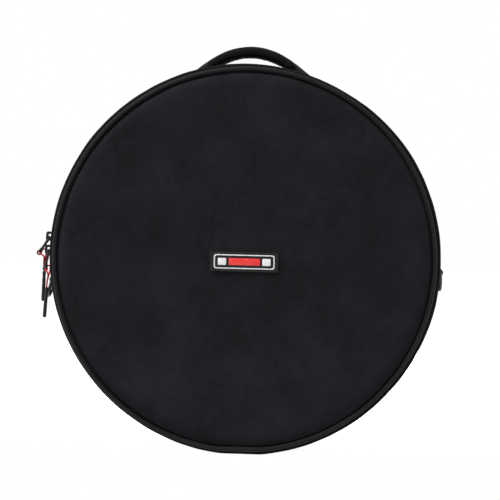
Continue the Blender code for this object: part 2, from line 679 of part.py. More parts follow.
def build_d_ring(word, angle_deg, lean, parts, m):
    """A D-shaped ring that hangs from its bar, and the webbing loop that holds the bar."""
    side = 1 if angle_deg > 0 else -1
    angle = math.radians(angle_deg)
    x, z = rim_point(BAG_RADIUS + RING_STAND_OFF, angle)
    empty = pivot_empty(f"d_ring_{word}_axis", (x, RING_BEHIND_MIDDLE, z), parts)
    empty.rotation_euler = (0, -side * math.radians(lean), 0)
    half = RING_BAR_LENGTH / 2
    shoulder = RING_DROP - half
    turns = [math.pi * i / RING_BOW_STEPS for i in range(RING_BOW_STEPS + 1)]
    bow = [(0, half * math.cos(t), -shoulder - half * math.sin(t)) for t in turns]
    ring = tube(f"d_ring_{word}", [(0, half, 0), *bow, (0, -half, 0)], RING_WIRE_RADIUS, parts,
                m["ring"], cyclic=True)
    hang_on(ring, empty)
    bore = RING_WIRE_RADIUS + RUNNING_GAP
    outer = bore + LOOP_WALL
    tail_low = RUNNING_GAP - RING_STAND_OFF
    tail_high = tail_low + LOOP_TAIL_THICKNESS
    meet = math.asin(tail_high / outer)
    sweep = math.pi * 1.5 - meet
    arc = [meet + sweep * i / LOOP_ARC_STEPS for i in range(LOOP_ARC_STEPS + 1)]
    outline = [(LOOP_TAIL_LENGTH, tail_low), (LOOP_TAIL_LENGTH, tail_high)]
    outline += [(outer * math.cos(t), outer * math.sin(t)) for t in arc] + [(0, tail_low)]
    outline = [(-side * u, v) for u, v in outline]
    hole = [(bore * math.cos(math.tau * i / LOOP_ARC_STEPS),
             bore * math.sin(math.tau * i / LOOP_ARC_STEPS)) for i in range(LOOP_ARC_STEPS)]
    loop = extruded(f"d_ring_loop_{word}", [outline, hole], LOOP_WIDTH, parts, m["webbing"])
    loop.data.transform(Matrix.Rotation(math.pi / 2, 4, "X"))
    loop.location = (x, RING_BEHIND_MIDDLE, z)
    loop.rotation_euler = (0, angle, 0)


# Name plate

def build_plate(parts, m):
    half_width = PLATE_WIDTH / 2 - PLATE_CORNER
    half_height = PLATE_HEIGHT / 2 - PLATE_CORNER
    outline = []
    for corner in range(4):
        sign_x = 1 if corner in (0, 3) else -1
        sign_y = 1 if corner in (0, 1) else -1
        for step in range(SHOULDER_STEPS + 1):
            t = math.pi / 2 * (corner + step / SHOULDER_STEPS)
            outline.append((sign_x * half_width + PLATE_CORNER * math.cos(t),
                            sign_y * half_height + PLATE_CORNER * math.sin(t)))
    plate = extruded("name_plate", [outline], PLATE_THICKNESS, parts, m["plate"])
    plate.location = (0, -FRONT - RUNNING_GAP - PLATE_THICKNESS / 2,
                      MIDDLE_HEIGHT - PLATE_BELOW_MIDDLE)
    plate.rotation_euler = (math.pi / 2, 0, 0)


def build_materials():
    return {
        "panel": new_material("front_fabric", (0.016, 0.016, 0.019), 0.85),
        "band": new_material("band_fabric", (0.014, 0.014, 0.016), 0.88),
        "piping": new_material("piping_fabric", (0.018, 0.018, 0.021), 0.80),
        "foam": new_material("grey_foam", (0.20, 0.20, 0.21), 0.95),
        "lining": new_material("lining_cloth", (0.05, 0.05, 0.055), 0.85),
        "binding": new_material("binding_tape", (0.012, 0.012, 0.013), 0.80),
        "tape": new_material("zip_tape", (0.012, 0.012, 0.013), 0.85),
        "coil": new_material("zip_coil_nylon", (0.015, 0.015, 0.016), 0.45),
        "slider": new_material("black_metal", (0.03, 0.03, 0.032), 0.35, 0.9),
        "metal": new_material("dark_metal", (0.10, 0.10, 0.11), 0.30, 1.0),
        "cord": new_material("red_cord", (0.45, 0.02, 0.02), 0.70),
        "rubber": new_material("black_rubber", (0.03, 0.03, 0.032), 0.60),
        "webbing": new_material("black_webbing", (0.015, 0.015, 0.016), 0.85),
        "grip": new_material("grip_fabric", (0.014, 0.014, 0.015), 0.80),
        "ring": new_material("ring_plastic", (0.02, 0.02, 0.021), 0.40),
        "plate": new_material("plate_rubber", (0.02, 0.02, 0.022), 0.55),
    }


def main():
    clear_scene()
    parts = new_collection("snare_drum_bag")
    cutters = new_collection("cutters")
    m = build_materials()
    build_shell(parts, m)
    build_zip(parts, m)
    pulls = (("upper", UPPER_SLIDER_ANGLE, UPPER_TAB_LEAN, UPPER_CORD_ROUTE, UPPER_RUBBER_LEAN),
             ("lower", LOWER_SLIDER_ANGLE, LOWER_TAB_LEAN, LOWER_CORD_ROUTE, LOWER_RUBBER_LEAN))
    for word, angle, tab_lean, route, rubber_lean in pulls:
        build_slider(f"{word}_slider", angle, parts, cutters, m)
        build_tab(f"{word}_pull_tab", angle, tab_lean, parts, cutters, m)
        build_pull(f"{word}_pull", angle, tab_lean, route, rubber_lean, parts, m)
    build_handle(parts, cutters, m)
    build_d_ring("left", LEFT_RING_ANGLE, LEFT_RING_LEAN, parts, m)
    build_d_ring("right", RIGHT_RING_ANGLE, RIGHT_RING_LEAN, parts, m)
    build_plate(parts, m)


main()
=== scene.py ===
# %% [markdown]
# # A round padded bag for a shallow drum
# The imported model is loaded first. It is a fixed frame in metres: +Z is up, the zipped front lid
# faces -Y, and the bag stands on the origin. The pieces made below take the places of its nodes,
# and all but the hinge web and the handle's two end pieces move with one of its bodies, so nothing
# here is fitted by eye.
# %% Load the imported model
import json
from math import asin, cos, pi, radians, sin, sqrt, tau

import bpy
import numpy as np
from mathutils import Matrix, Quaternion, Vector, noise


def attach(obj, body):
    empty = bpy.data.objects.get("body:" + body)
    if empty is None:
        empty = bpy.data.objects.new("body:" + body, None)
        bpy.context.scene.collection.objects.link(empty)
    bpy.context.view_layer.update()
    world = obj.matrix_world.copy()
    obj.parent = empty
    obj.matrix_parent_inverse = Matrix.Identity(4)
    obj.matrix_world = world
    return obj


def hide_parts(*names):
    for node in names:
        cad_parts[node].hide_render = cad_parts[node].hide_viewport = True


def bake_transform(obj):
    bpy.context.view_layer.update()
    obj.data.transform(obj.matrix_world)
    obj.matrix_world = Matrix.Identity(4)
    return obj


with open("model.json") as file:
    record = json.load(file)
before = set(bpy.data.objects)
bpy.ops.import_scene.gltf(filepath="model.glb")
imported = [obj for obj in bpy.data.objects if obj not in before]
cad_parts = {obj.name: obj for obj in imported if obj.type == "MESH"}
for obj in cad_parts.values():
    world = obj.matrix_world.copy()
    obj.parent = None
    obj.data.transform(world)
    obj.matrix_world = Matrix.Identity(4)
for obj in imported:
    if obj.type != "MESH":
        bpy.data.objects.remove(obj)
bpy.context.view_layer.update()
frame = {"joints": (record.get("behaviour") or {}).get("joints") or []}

# %% [markdown]
# ## Sizes of the bag
# These are the sizes that the CAD model was built from. Angles go round the bag from the top,
# clockwise as seen from the front, so the zip sliders at the left are near -90 degrees. Depths are
# on Y: the front is negative.
# %% Sizes
RADIUS = 0.200
MIDDLE = 0.198904
FRONT, REAR = -0.0975, 0.0975
ZIP = -0.0515
HINGE_ANGLE = radians(18)
PIPING_RING, PIPING_RADIUS, PIPING_DEPTH = 0.1950, 0.0023, 0.0931
PANEL_RADIUS = 0.1919
TAPE_OUTSIDE = 0.1985
COIL_RING = 0.20005
PLATE_UNDER, PLATE_TOP = 0.2019, 0.2033
HANDLE_Y, RING_Y = 0.010, -0.025
AROUND = 240
PANELS = (("front", "lid", -1), ("rear", "bag", 1))
BANDS = (("lid", "lid", -1), ("body", "bag", 1))
SIDES = (("left", -1), ("right", 1))


def at(radius, angle, y):
    """The place at a radius, an angle in radians and a depth round the bag's axis."""
    return Vector((radius * sin(angle), y, MIDDLE + radius * cos(angle)))


def joint_place(name):
    """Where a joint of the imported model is."""
    return Vector(next(j["pos_m"] for j in frame["joints"] if j["name"] == name))


print("bag", round(2 * RADIUS * 1000), "mm across,", round((REAR - FRONT) * 1000), "mm deep")

# %% [markdown]
# ## Camera
# The camera comes before everything else. It stands 2.2 m in front of the lid, at the height of the
# bag's middle and half a hand's width to the right of it, because that shows a thin line of the
# side band at the right. The bag was a little turned in its photo, so the camera is rolled as much.
# %% Camera
CAMERA_DISTANCE, CAMERA_SIDEWAYS = 2.2, 0.045
PIXELS, PIXEL_FOCUS = 500, 2155
BAG_MIDDLE_PIXEL = Vector((244.3, 259.4))
CAMERA_ROLL = radians(1.5)
SENSOR = 36

camera_data = bpy.data.cameras.new("camera")
camera_data.sensor_width = SENSOR
camera_data.lens = PIXEL_FOCUS * SENSOR / PIXELS
camera = bpy.data.objects.new("camera", camera_data)
bpy.context.scene.collection.objects.link(camera)
bpy.context.scene.camera = camera
to_right = Vector((cos(CAMERA_ROLL), 0, sin(CAMERA_ROLL)))
upwards = Vector((-sin(CAMERA_ROLL), 0, cos(CAMERA_ROLL)))
off_middle = (Vector((PIXELS / 2, PIXELS / 2)) - BAG_MIDDLE_PIXEL) * CAMERA_DISTANCE / PIXEL_FOCUS
aim = Vector((0, FRONT, MIDDLE)) + to_right * off_middle.x - upwards * off_middle.y
camera.location = aim + Vector((CAMERA_SIDEWAYS, -CAMERA_DISTANCE, 0))
facing = (aim - camera.location).to_track_quat("-Z", "Y")
camera.rotation_euler = (facing @ Quaternion((0, 0, 1), CAMERA_ROLL)).to_euler()
print("camera at", [round(v, 4) for v in camera.location], "lens", round(camera_data.lens, 1))

# %% [markdown]
# ## A work bench
# Blender's operators act on whatever is selected, so each step first selects only its own piece.
# These helpers do that, name a new piece, add a modifier and apply it at once, and move a piece's
# points by a rule, as one would with a sculpting brush.
# %% Bench helpers


def take(piece):
    """Makes one piece the only one selected, and the active one."""
    bpy.ops.object.select_all(action="DESELECT")
    piece.select_set(True)
    bpy.context.view_layer.objects.active = piece
    return piece


def named(name):
    """Names the piece that was just made, and its mesh."""
    piece = bpy.context.object
    piece.name = piece.data.name = name
    return piece


def edit(piece, part="VERT"):
    """Opens a piece in edit mode with all of it selected."""
    take(piece)
    bpy.ops.object.mode_set(mode="EDIT")
    bpy.ops.mesh.select_mode(type=part)
    bpy.ops.mesh.select_all(action="SELECT")


def close():
    """Goes back to object mode."""
    bpy.ops.object.mode_set(mode="OBJECT")


def settle(piece):
    """Puts a piece's place, turn and size into its mesh."""
    take(piece)
    bpy.ops.object.transform_apply(location=True, rotation=True, scale=True)
    return piece


def place_piece(piece, place, turn=0, axis="Y"):
    """Moves a piece made at the origin to its place, turned by degrees round an axis."""
    piece.matrix_world = Matrix.Translation(place) @ Matrix.Rotation(radians(turn), 4, axis)
    return settle(piece)


def grow(piece, kind, **settings):
    """Adds a modifier with its settings and applies it."""
    take(piece)
    modifier = piece.modifiers.new(kind.lower(), kind)
    for key, value in settings.items():
        setattr(modifier, key, value)
    bpy.ops.object.modifier_apply(modifier=modifier.name)
    return piece


def ease(piece, width, segments=2, over=50):
    """Rounds the edges that are sharper than an angle in degrees."""
    return grow(piece, "BEVEL", width=width, segments=segments, limit_method="ANGLE",
                angle_limit=radians(over))


def combine(piece, other, operation="UNION"):
    """Unites two closed pieces, or cuts the second out of the first."""
    grow(piece, "BOOLEAN", operation=operation, object=other, solver="EXACT")
    bpy.data.objects.remove(other, do_unlink=True)
    return piece


def outwards(piece):
    """Merges doubled points and turns all faces outwards."""
    edit(piece)
    bpy.ops.mesh.remove_doubles(threshold=0.000002)
    bpy.ops.mesh.normals_make_consistent(inside=False)
    close()
    return piece


def thicken(piece, outward, thickness, offset=-1):
    """Turns the outer side of an open sheet outwards and gives the sheet its thickness."""
    outwards(piece)
    faces = piece.data.polygons
    if sum(face.area * face.normal.dot(outward(face.center)) for face in faces) < 0:
        edit(piece)
        bpy.ops.mesh.flip_normals()
        close()
    return grow(piece, "SOLIDIFY", thickness=thickness, offset=offset)


def from_axis(place):
    """Outwards from the bag's axis."""
    return Vector((place[0], 0, place[2] - MIDDLE)).normalized()


def to_axis(place):
    return -from_axis(place)


def draw(name, places, closed=True):
    """Draws a line in space from one point, extruded on to each next place."""
    places = [Vector(place) for place in places]
    bpy.ops.mesh.primitive_plane_add(size=0.001, location=places[0])
    piece = named(name)
    edit(piece)
    bpy.ops.mesh.merge(type="CENTER")
    for here, there in zip(places, places[1:]):
        bpy.ops.mesh.extrude_vertices_move(TRANSFORM_OT_translate={"value": there - here})
    close()
    settle(piece)
    if closed:
        edit(piece)
        bpy.ops.mesh.select_all(action="DESELECT")
        close()
        for point in piece.data.vertices:
            point.select = min((point.co - end).length for end in (places[0], places[-1])) < 1e-7
        bpy.ops.object.mode_set(mode="EDIT")
        bpy.ops.mesh.edge_face_add()
        close()
    return piece


def spin(piece, steps, turn=tau, center=(0, 0, 0), axis=(0, 0, 1)):
    """Spins a line round an axis."""
    edit(piece)
    bpy.ops.mesh.spin(steps=steps, angle=turn, center=center, axis=axis)
    close()
    return outwards(piece)


def lathe(name, profile, steps=AROUND, closed=True, ends=None):
    """Spins a section of (radius, y) points round the bag, all round or between two angles."""
    first, last = ends or (0, tau)
    piece = draw(name, [at(radius, first, y) for radius, y in profile], closed)
    if ends and closed:
        edit(piece)
        bpy.ops.mesh.edge_face_add()
        close()
    return spin(piece, steps, first - last, (0, 0, MIDDLE), (0, 1, 0))


def values(items, key, each=1, kind=float):
    """One property of every point, corner or face, as one long row of numbers."""
    found = np.empty(len(items) * each, kind)
    items.foreach_get(key, found)
    return found


def points_of(piece):
    """A piece's points as rows of x, y, z."""
    return values(piece.data.vertices, "co", 3).reshape(-1, 3)


def put_points(piece, rows):
    """Moves a piece's points to new rows of x, y, z."""
    piece.data.vertices.foreach_set("co", np.asarray(rows, float).ravel())
    piece.data.update()
    return piece


def polar(rows):
    """Radius, angle and depth round the bag's axis of rows of points."""
    x, y, z = rows[:, 0], rows[:, 1], rows[:, 2] - MIDDLE
    return np.hypot(x, z), np.arctan2(x, z), y


def from_polar(radius, angle, y):
    """Rows of points from radius, angle and depth."""
    return np.stack([radius * np.sin(angle), y + 0 * angle, MIDDLE + radius * np.cos(angle)], axis=1)


def remould(piece, rule):
    """Moves a piece's points by a rule from rows, radius, angle and depth to the last three."""
    rows = points_of(piece)
    return put_points(piece, from_polar(*rule(rows, *polar(rows))))


def flatten_foot(rows):
    """Lifts the lowest stretch to the flat that the bag stands on, as in the CAD model."""
    low = rows[:, 2] < MIDDLE / 2
    reach = np.sqrt(np.maximum(0, RADIUS ** 2 - rows[low, 0] ** 2))
    rows[low, 2] += np.maximum(0, reach - MIDDLE)
    return rows


def stand(piece):
    """Flattens the foot of a round piece."""
    return put_points(piece, flatten_foot(points_of(piece)))


def waves(rows, size, seed):
    """A smooth random height from -1 to 1 for each row, in swells of about a size in metres."""
    shift = Vector((seed * 7.3, seed * 3.1, seed * 5.7))
    return np.array([noise.noise(Vector(row) / size + shift) for row in rows])


def bell(away, width):
    """A soft hump of height 1 that fades over a width."""
    return np.exp(-(away / width) ** 2)


def bump_at(angle, centre_deg, width_deg):
    """A soft hump round the bag's rim, centred on an angle."""
    return bell((np.degrees(angle) - centre_deg + 180) % 360 - 180, width_deg)


print("bench ready")

# %% [markdown]
# Cloth and thread need a map that follows them, so that their weave runs along the piece. Each
# map here is in metres: one unit of it is one metre of cloth. A flat panel is mapped straight from
# the front, a band is unrolled round the bag, and a strap or tube is measured along its length.
# %% Maps in metres


def map_piece(piece, rule):
    """Gives every corner of a piece its place on the cloth, from a rule of rows of points."""
    mesh = piece.data
    while mesh.uv_layers:
        mesh.uv_layers.remove(mesh.uv_layers[0])
    corners = values(mesh.loops, "vertex_index", kind=int)
    mesh.uv_layers.new(name="UVMap").data.foreach_set("uv", rule(points_of(piece), corners).ravel())
    return piece


def map_front(piece):
    """Maps a piece straight from the front."""
    return map_piece(piece, lambda rows, corners: rows[corners][:, [0, 2]])


def map_copy_of(piece, rows_by_point):
    """Uses a map that was worked out for each point."""
    return map_piece(piece, lambda rows, corners: rows_by_point[corners])


def whole_faces(piece, turns):
    """Angles at the corners of a piece, where faces across the seam stay whole."""
    first, count = (values(piece.data.polygons, key, kind=int) for key in ("loop_start", "loop_total"))
    lead = np.repeat(turns[first], count, axis=0)
    turns = np.where(turns - lead > pi, turns - tau, turns)
    return np.where(lead - turns > pi, turns + tau, turns)


def map_band(piece):
    """Unrolls a piece of the round wall."""
    def rule(rows, corners):
        _, angle, y = polar(rows)
        return np.stack([whole_faces(piece, angle[corners]) * RADIUS, y[corners]], axis=1)
    return map_piece(piece, rule)


def map_box(piece):
    """Maps each face of a small piece from the side that it faces most."""
    def rule(rows, corners):
        faces = piece.data.polygons
        side = np.argmax(np.abs(values(faces, "normal", 3).reshape(-1, 3)), axis=1)
        side = np.repeat(side, values(faces, "loop_total", kind=int))
        choice = np.array([[1, 2], [0, 2], [0, 1]])[side]
        return np.take_along_axis(rows[corners], choice, axis=1)
    return map_piece(piece, rule)


print("maps ready")

# %% [markdown]
# ## Wiring a material
# A material is a board of nodes, and its maths is easier to read as sums. `Wire` holds one output
# of a node: adding or multiplying wires adds the Math nodes. Every other kind of node comes from
# its `node` method, which takes the settings first, then the values or wires of the sockets.
# %% Wires


class Wire:
    """One output of a node; sums on it add Math nodes to its material."""

    def __init__(self, socket):
        self.socket = socket

    def node(self, kind, settings=None, inputs=None, out=0):
        """Adds a node of any kind beside this one and returns a wire from one of its outputs."""
        tree = self.socket.id_data
        made = tree.nodes.new("ShaderNode" + kind)
        for key, value in (settings or {}).items():
            setattr(made, key, value)
        for key, value in (inputs or {}).items():
            if isinstance(value, Wire):
                tree.links.new(value.socket, made.inputs[key])
            else:
                made.inputs[key].default_value = value
        return Wire(made.outputs[out])

    def outputs(self):
        """All outputs of the same node."""
        return [Wire(socket) for socket in self.socket.node.outputs]

    def parts(self):
        """Its x, y and z."""
        return self.node("SeparateXYZ", None, {0: self}).outputs()

    def maths(self, operation, *values):
        return self.node("Math", {"operation": operation}, dict(enumerate(values)))

    def __add__(self, other):
        return self.maths("ADD", self, other)

    def __sub__(self, other):
        return self.maths("SUBTRACT", self, other)

    def __rsub__(self, other):
        return self.maths("SUBTRACT", other, self)

    def __mul__(self, other):
        return self.maths("MULTIPLY", self, other)

    def __abs__(self):
        return self.maths("ABSOLUTE", self)

    def sine(self):
        return self.maths("SINE", self)

    def larger(self, other):
        return self.maths("MAXIMUM", self, other)

    def between(self, low, high):
        """A soft step: 0 below low, 1 above high."""
        return self.node("MapRange", {"interpolation_type": "SMOOTHSTEP"},
                         {"Value": self, "From Min": low, "From Max": high})

    def grain(self, size, detail=2.0, stretch=None):
        """Noise from 0 to 1 whose spots are about a size in metres, on coordinates in metres."""
        place = self.node("Mapping", None, {"Vector": self, "Scale": stretch}) if stretch else self
        return place.node("TexNoise", None, {"Vector": place, "Scale": 1 / size, "Detail": detail})

    def blend(self, dark, light):
        """Mixes two colours by this wire."""
        return self.node("Mix", {"data_type": "RGBA"}, {0: self, 6: (*dark, 1), 7: (*light, 1)}, 2)

    def bump(self, height):
        """A Bump node for this wire, read as a share of a height in metres."""
        return self.node("Bump", None, {"Height": self, "Distance": height})


def board(name, **fixed):
    """A new material. Values that are the same all over are set on the shader itself."""
    material = bpy.data.materials.new(name)
    material.use_nodes = True
    nodes = material.node_tree.nodes
    for key, value in fixed.items():
        nodes["Principled BSDF"].inputs[key.replace("_", " ")].default_value = value
    source = nodes.new("ShaderNodeTexCoord")
    return material, Wire(source.outputs["Object"]), Wire(source.outputs["UV"])


def plug(material, **wires):
    """Plugs wires into the shader of a material."""
    tree = material.node_tree
    for key, wire in wires.items():
        tree.links.new(wire.socket, tree.nodes["Principled BSDF"].inputs[key.replace("_", " ")])
    return material


print("wires ready")

# %% [markdown]
# ## Woven cloth
# The skin, the piping and the padded grip are black polyester in a plain weave: each thread goes
# over one and under the next. The height of a thread is the size of a sine across it, and the
# product of both sines says which thread is on top. Wide soft patches stand for the laminated foam
# behind the cloth, and a little fuzz breaks the black up. A painted light from below makes the
# cloth lighter towards the bottom of the bag.
# %% Woven cloth


def plain_weave(cloth, pitch_u, pitch_v):
    """Height from 0 to 1 of threads that go over and under by turns."""
    u, v, _ = cloth.parts()
    warp, weft = (u * (pi / pitch_u)).sine(), (v * (pi / pitch_v)).sine()
    over = warp * weft
    return (abs(warp) * (over * 0.5 + 0.5)).larger(abs(weft) * (0.5 - over * 0.5))


def woven(name, dark, light, pitch, relief, roughness, patch=0.05, sheen=0.03, specular=0.07,
          weave=0.25, seam_shade=0.0):
    """A woven cloth: colours of its gaps and thread tops, thread pitch and bump height in metres.

    The cloth of the bands darkens by seam_shade where it dips into the seams beside the piping."""
    material, place, cloth = board(name, Specular_IOR_Level=specular, Sheen_Weight=sheen,
                                   Sheen_Roughness=0.45)
    height = plain_weave(cloth, pitch, pitch)
    patches = place.grain(patch, 2)
    fuzz = place.grain(0.0015, 3, (1.0, 1.0, 0.6))
    crease = place.grain(0.012, 3)
    _, depth, up = place.parts()
    # Painted light from below: the cloth gets lighter towards the bottom of the bag.
    painted_low_light = up.between(0.17, 0.0)
    cloudy_and_low_light = patches * 0.6 + fuzz * 0.6 + crease * 0.25 + painted_low_light * 0.12
    tone = (height * weave + cloudy_and_low_light).between(0.37 + weave, 0.91 + weave)
    if seam_shade:
        tone = tone - abs(depth).between(0.0868, 0.0890) * seam_shade
    return plug(material, Base_Color=tone.blend(dark, light),
                Roughness=patches * 0.10 + fuzz * 0.10 + (roughness - 0.10),
                Normal=(height * 0.8 + fuzz * 0.2).bump(relief))


panel_cloth = woven("panel_cloth", (0.0043, 0.0041, 0.0053), (0.0138, 0.0135, 0.0171), 0.00055,
                    0.00005, 0.80)
band_cloth = woven("band_cloth", (0.0028, 0.0028, 0.0032), (0.0094, 0.0094, 0.0106), 0.00110,
                   0.00016, 0.84, sheen=0.0, specular=0.04, weave=0.8, seam_shade=0.9)
piping_cloth = woven("piping_cloth", (0.0014, 0.0014, 0.0017), (0.0046, 0.0045, 0.0055), 0.00050,
                     0.00005, 0.56, 0.03, sheen=0.015, specular=0.12)
grip_cloth = woven("grip_cloth", (0.0024, 0.0024, 0.0028), (0.0078, 0.0078, 0.0087), 0.00062,
                   0.00007, 0.76, 0.02, sheen=0.02)
print("cloths:", [m.name for m in (panel_cloth, band_cloth, piping_cloth, grip_cloth)])

# %% [markdown]
# ## Webbing, tapes and thread
# Webbing has fat threads that are longer than wide, zip tape is knitted in narrow ribs along its
# length, and the tape folded over the inside seams has ribs across it. Their maps run along each
# strip, so the ribs turn with it. Sewing thread is too thin for a weave, so it has a twist.
# %% Webbing, tapes and thread
webbing, place, cloth = board("woven_webbing", Specular_IOR_Level=0.22, Sheen_Weight=0.05)
height, fuzz = plain_weave(cloth, 0.0024, 0.0011), place.grain(0.0007, 3)
tone = (height * 0.6 + fuzz * 0.4).between(0.2, 0.9)
plug(webbing, Base_Color=tone.blend((0.006, 0.006, 0.007), (0.017, 0.017, 0.019)),
     Roughness=0.85 - height * 0.15, Normal=(height + fuzz * 0.2).bump(0.00025))


def tape_material(name, along, rib, cross):
    """A ribbed tape; along says which of its map's directions the ribs are counted on."""
    material, place, cloth = board(name, Specular_IOR_Level=0.18, Sheen_Weight=0.04)
    parts = cloth.parts()
    height = (abs((parts[along] * (pi / rib)).sine()) * 0.7
              + abs((parts[1 - along] * (pi / cross)).sine()) * 0.3)
    fuzz = place.grain(0.0006, 2)
    tone = (height * 0.6 + fuzz * 0.4).between(0.15, 0.95)
    return plug(material, Base_Color=tone.blend((0.005, 0.005, 0.006), (0.015, 0.015, 0.0165)),
                Roughness=0.9 - height * 0.12, Normal=(height + fuzz * 0.2).bump(0.00012))


zip_tape = tape_material("knitted_tape", 1, 0.0011, 0.0006)
binding_tape = tape_material("ribbed_binding", 0, 0.0013, 0.0008)

thread, place, _ = board("sewing_thread", Specular_IOR_Level=0.3, Sheen_Weight=0.05)
twist = place.grain(0.0003, 1, (1.0, 3.0, 1.0))
plug(thread, Base_Color=twist.blend((0.010, 0.010, 0.011), (0.034, 0.034, 0.037)),
     Roughness=0.75 - twist * 0.25, Normal=twist.bump(0.00008))
print("tapes:", [m.name for m in (webbing, zip_tape, binding_tape, thread)])

# %% [markdown]
# ## Metal, nylon, rubber and red braid
# The zip teeth are bent nylon. The sliders are black enamel over zinc, chipped where the teeth and
# the tab knock it, and the tabs are brushed black nickel with dull spots. The pulls are a red braid
# that goes into moulded rubber. A braid is two sets of strands that wind round in opposite
# directions, so its height is the larger of two slanting sines.
# %% Hard and braided finishes
zip_nylon, place, _ = board("zip_nylon", Specular_IOR_Level=0.4)
fine = place.grain(0.0006, 2)
plug(zip_nylon, Base_Color=place.grain(0.004, 3).blend((0.007, 0.007, 0.008), (0.018, 0.018, 0.020)),
     Roughness=fine * 0.2 + 0.36, Normal=fine.bump(0.00004))

slider_enamel, place, _ = board("slider_enamel", Specular_IOR_Level=0.22)
chips, fine = place.grain(0.0011, 4).between(0.67, 0.75), place.grain(0.0005, 3)
plug(slider_enamel, Base_Color=chips.blend((0.005, 0.005, 0.0055), (0.12, 0.12, 0.13)),
     Metallic=chips * 0.8, Roughness=fine * 0.15 + 0.20, Normal=(fine * 0.4 - chips * 0.6).bump(0.00003))

tab_nickel, place, _ = board("tab_nickel", Specular_IOR_Level=0.25)
brushed, dull = place.grain(0.0006, 3, (1.0, 1.0, 0.12)), place.grain(0.003, 3).between(0.45, 0.75)
plug(tab_nickel, Base_Color=dull.blend((0.022, 0.022, 0.024), (0.010, 0.010, 0.011)),
     Metallic=0.6 - dull * 0.3, Roughness=brushed * 0.14 + dull * 0.10 + 0.16,
     Normal=brushed.bump(0.00002))

STRAND_ALONG, STRAND_ROUND = 0.0016, 0.0012566
red_braid, place, cloth = board("red_braid", Specular_IOR_Level=0.10, Sheen_Weight=0.0)
along, round_it, _ = cloth.parts()
along, round_it = along * (tau / STRAND_ALONG), round_it * (tau / STRAND_ROUND)
strands = (along + round_it).sine().larger((along - round_it).sine())
fuzz = place.grain(0.0004, 2)
tone = (strands * 0.6 + fuzz * 0.5).between(-0.1, 0.9)
plug(red_braid, Base_Color=tone.blend((0.34, 0.003, 0.008), (0.78, 0.010, 0.026)),
     Roughness=0.75 - fuzz * 0.2, Normal=(strands * 0.5 + fuzz * 0.2).bump(0.00012))


def moulded(name, dark, light, roughness, pitted, specular=0.35):
    """Moulded rubber or plastic: a cloudy surface with fine pits from the mould."""
    material, place, _ = board(name, Specular_IOR_Level=specular)
    pits = place.grain(0.0005, 2)
    rubbed = place.grain(0.0035, 4).between(0.52, 0.78)
    tone = (place.grain(0.009, 3) * 0.5 + rubbed * 0.5).between(0.1, 0.9)
    return plug(material, Base_Color=tone.blend(dark, light), Normal=pits.bump(pitted),
                Roughness=pits * 0.15 + rubbed * 0.12 + (roughness - 0.12))


pull_rubber = moulded("moulded_rubber", (0.005, 0.005, 0.0055), (0.016, 0.016, 0.0175), 0.48,
                      0.00005, 0.2)
ring_plastic = moulded("moulded_plastic", (0.012, 0.012, 0.013), (0.026, 0.026, 0.028), 0.36,
                       0.00003, 0.45)
plate_rubber = moulded("plate_field", (0.005, 0.005, 0.0055), (0.012, 0.012, 0.013), 0.55,
                       0.00005, 0.15)
plate_pale = moulded("plate_pale", (0.70, 0.70, 0.71), (0.86, 0.86, 0.88), 0.50, 0.00003)
plate_red = moulded("plate_red", (0.66, 0.030, 0.028), (0.84, 0.055, 0.048), 0.48, 0.00003)
print("hard finishes:", [m.name for m in (zip_nylon, slider_enamel, tab_nickel, red_braid)])

# %% [markdown]
# ## Padding and lining
# Inside, the wall is grey foam behind a brushed lining. Foam is a heap of small bubbles, which a
# Voronoi texture gives; brushed cloth is a nap of short hairs, which is fine noise stretched one
# way under wide strokes left by hands.
# %% Padding and lining
grey_foam, place, _ = board("grey_foam", Specular_IOR_Level=0.2)
cells = place.node("TexVoronoi", None, {"Vector": place, "Scale": 900.0})
tone = (cells * 0.7 + place.grain(0.01, 2) * 0.3).between(0.1, 0.8)
plug(grey_foam, Base_Color=tone.blend((0.07, 0.07, 0.075), (0.21, 0.21, 0.22)),
     Roughness=0.98 - cells * 0.1, Normal=cells.bump(0.0004))

brushed_lining, place, cloth = board("brushed_lining", Specular_IOR_Level=0.12, Sheen_Weight=0.15,
                                     Sheen_Roughness=0.4)
nap, strokes = cloth.grain(0.0006, 3, (1.0, 0.35, 1.0)), place.grain(0.06, 3)
tone = (nap * 0.5 + strokes * 0.5).between(0.25, 0.75)
plug(brushed_lining, Base_Color=tone.blend((0.018, 0.018, 0.020), (0.046, 0.046, 0.050)),
     Roughness=0.95 - strokes * 0.1, Normal=nap.bump(0.00015))
print("inside finishes:", grey_foam.name, brushed_lining.name)

# %% [markdown]
# ## Floor, air and lamps
# The bag stands on a plain pale floor in a white room. The floor ends below the zip, like a table's
# edge, so that the open lid can hang past it. The camera, and what metal reflects, see a white
# room, while the cloth is lit by a plainer air and by soft lamps, so that black stays black. A big
# lamp hangs above in front, two weaker ones at the sides draw the round edge, a weak one low in
# front lifts the lower rim, and one behind lights the back.
# %% Floor, air and lamps
AIR_LEVEL = 0.16
FLOOR_SIZE = 30
FLOOR_FRONT = ZIP + 0.001
FLOOR_COLOUR, FLOOR_CLOUDS = 0.92, 0.02
FLOOR_GLOW = 1 - FLOOR_COLOUR * AIR_LEVEL
LAMPS = (("lamp_above", (-0.9, -0.95, 2.1), 1.0, 55), ("lamp_left", (-2.3, -0.75, 0.7), 0.9, 24),
         ("lamp_right", (2.3, -0.70, 0.6), 0.9, 18), ("lamp_low", (0.1, -1.9, -0.6), 1.2, 15),
         ("lamp_behind", (0.3, 2.3, 0.6), 1.0, 32))


def seen_directly(wire):
    """1 for rays from the camera, and for those reflected by or passed through a surface."""
    path = wire.node("LightPath").outputs()
    return path[0].larger(path[3]).larger(path[6])


bpy.context.scene.view_settings.view_transform = "Standard"
world = bpy.data.worlds.new("white_room")
world.use_nodes = True
air = world.node_tree.nodes["Background"]
level = seen_directly(Wire(air.outputs[0])) * (1 - AIR_LEVEL) + AIR_LEVEL
world.node_tree.links.new(level.socket, air.inputs["Strength"])
air.inputs["Color"].default_value = (1, 1, 1, 1)
bpy.context.scene.world = world

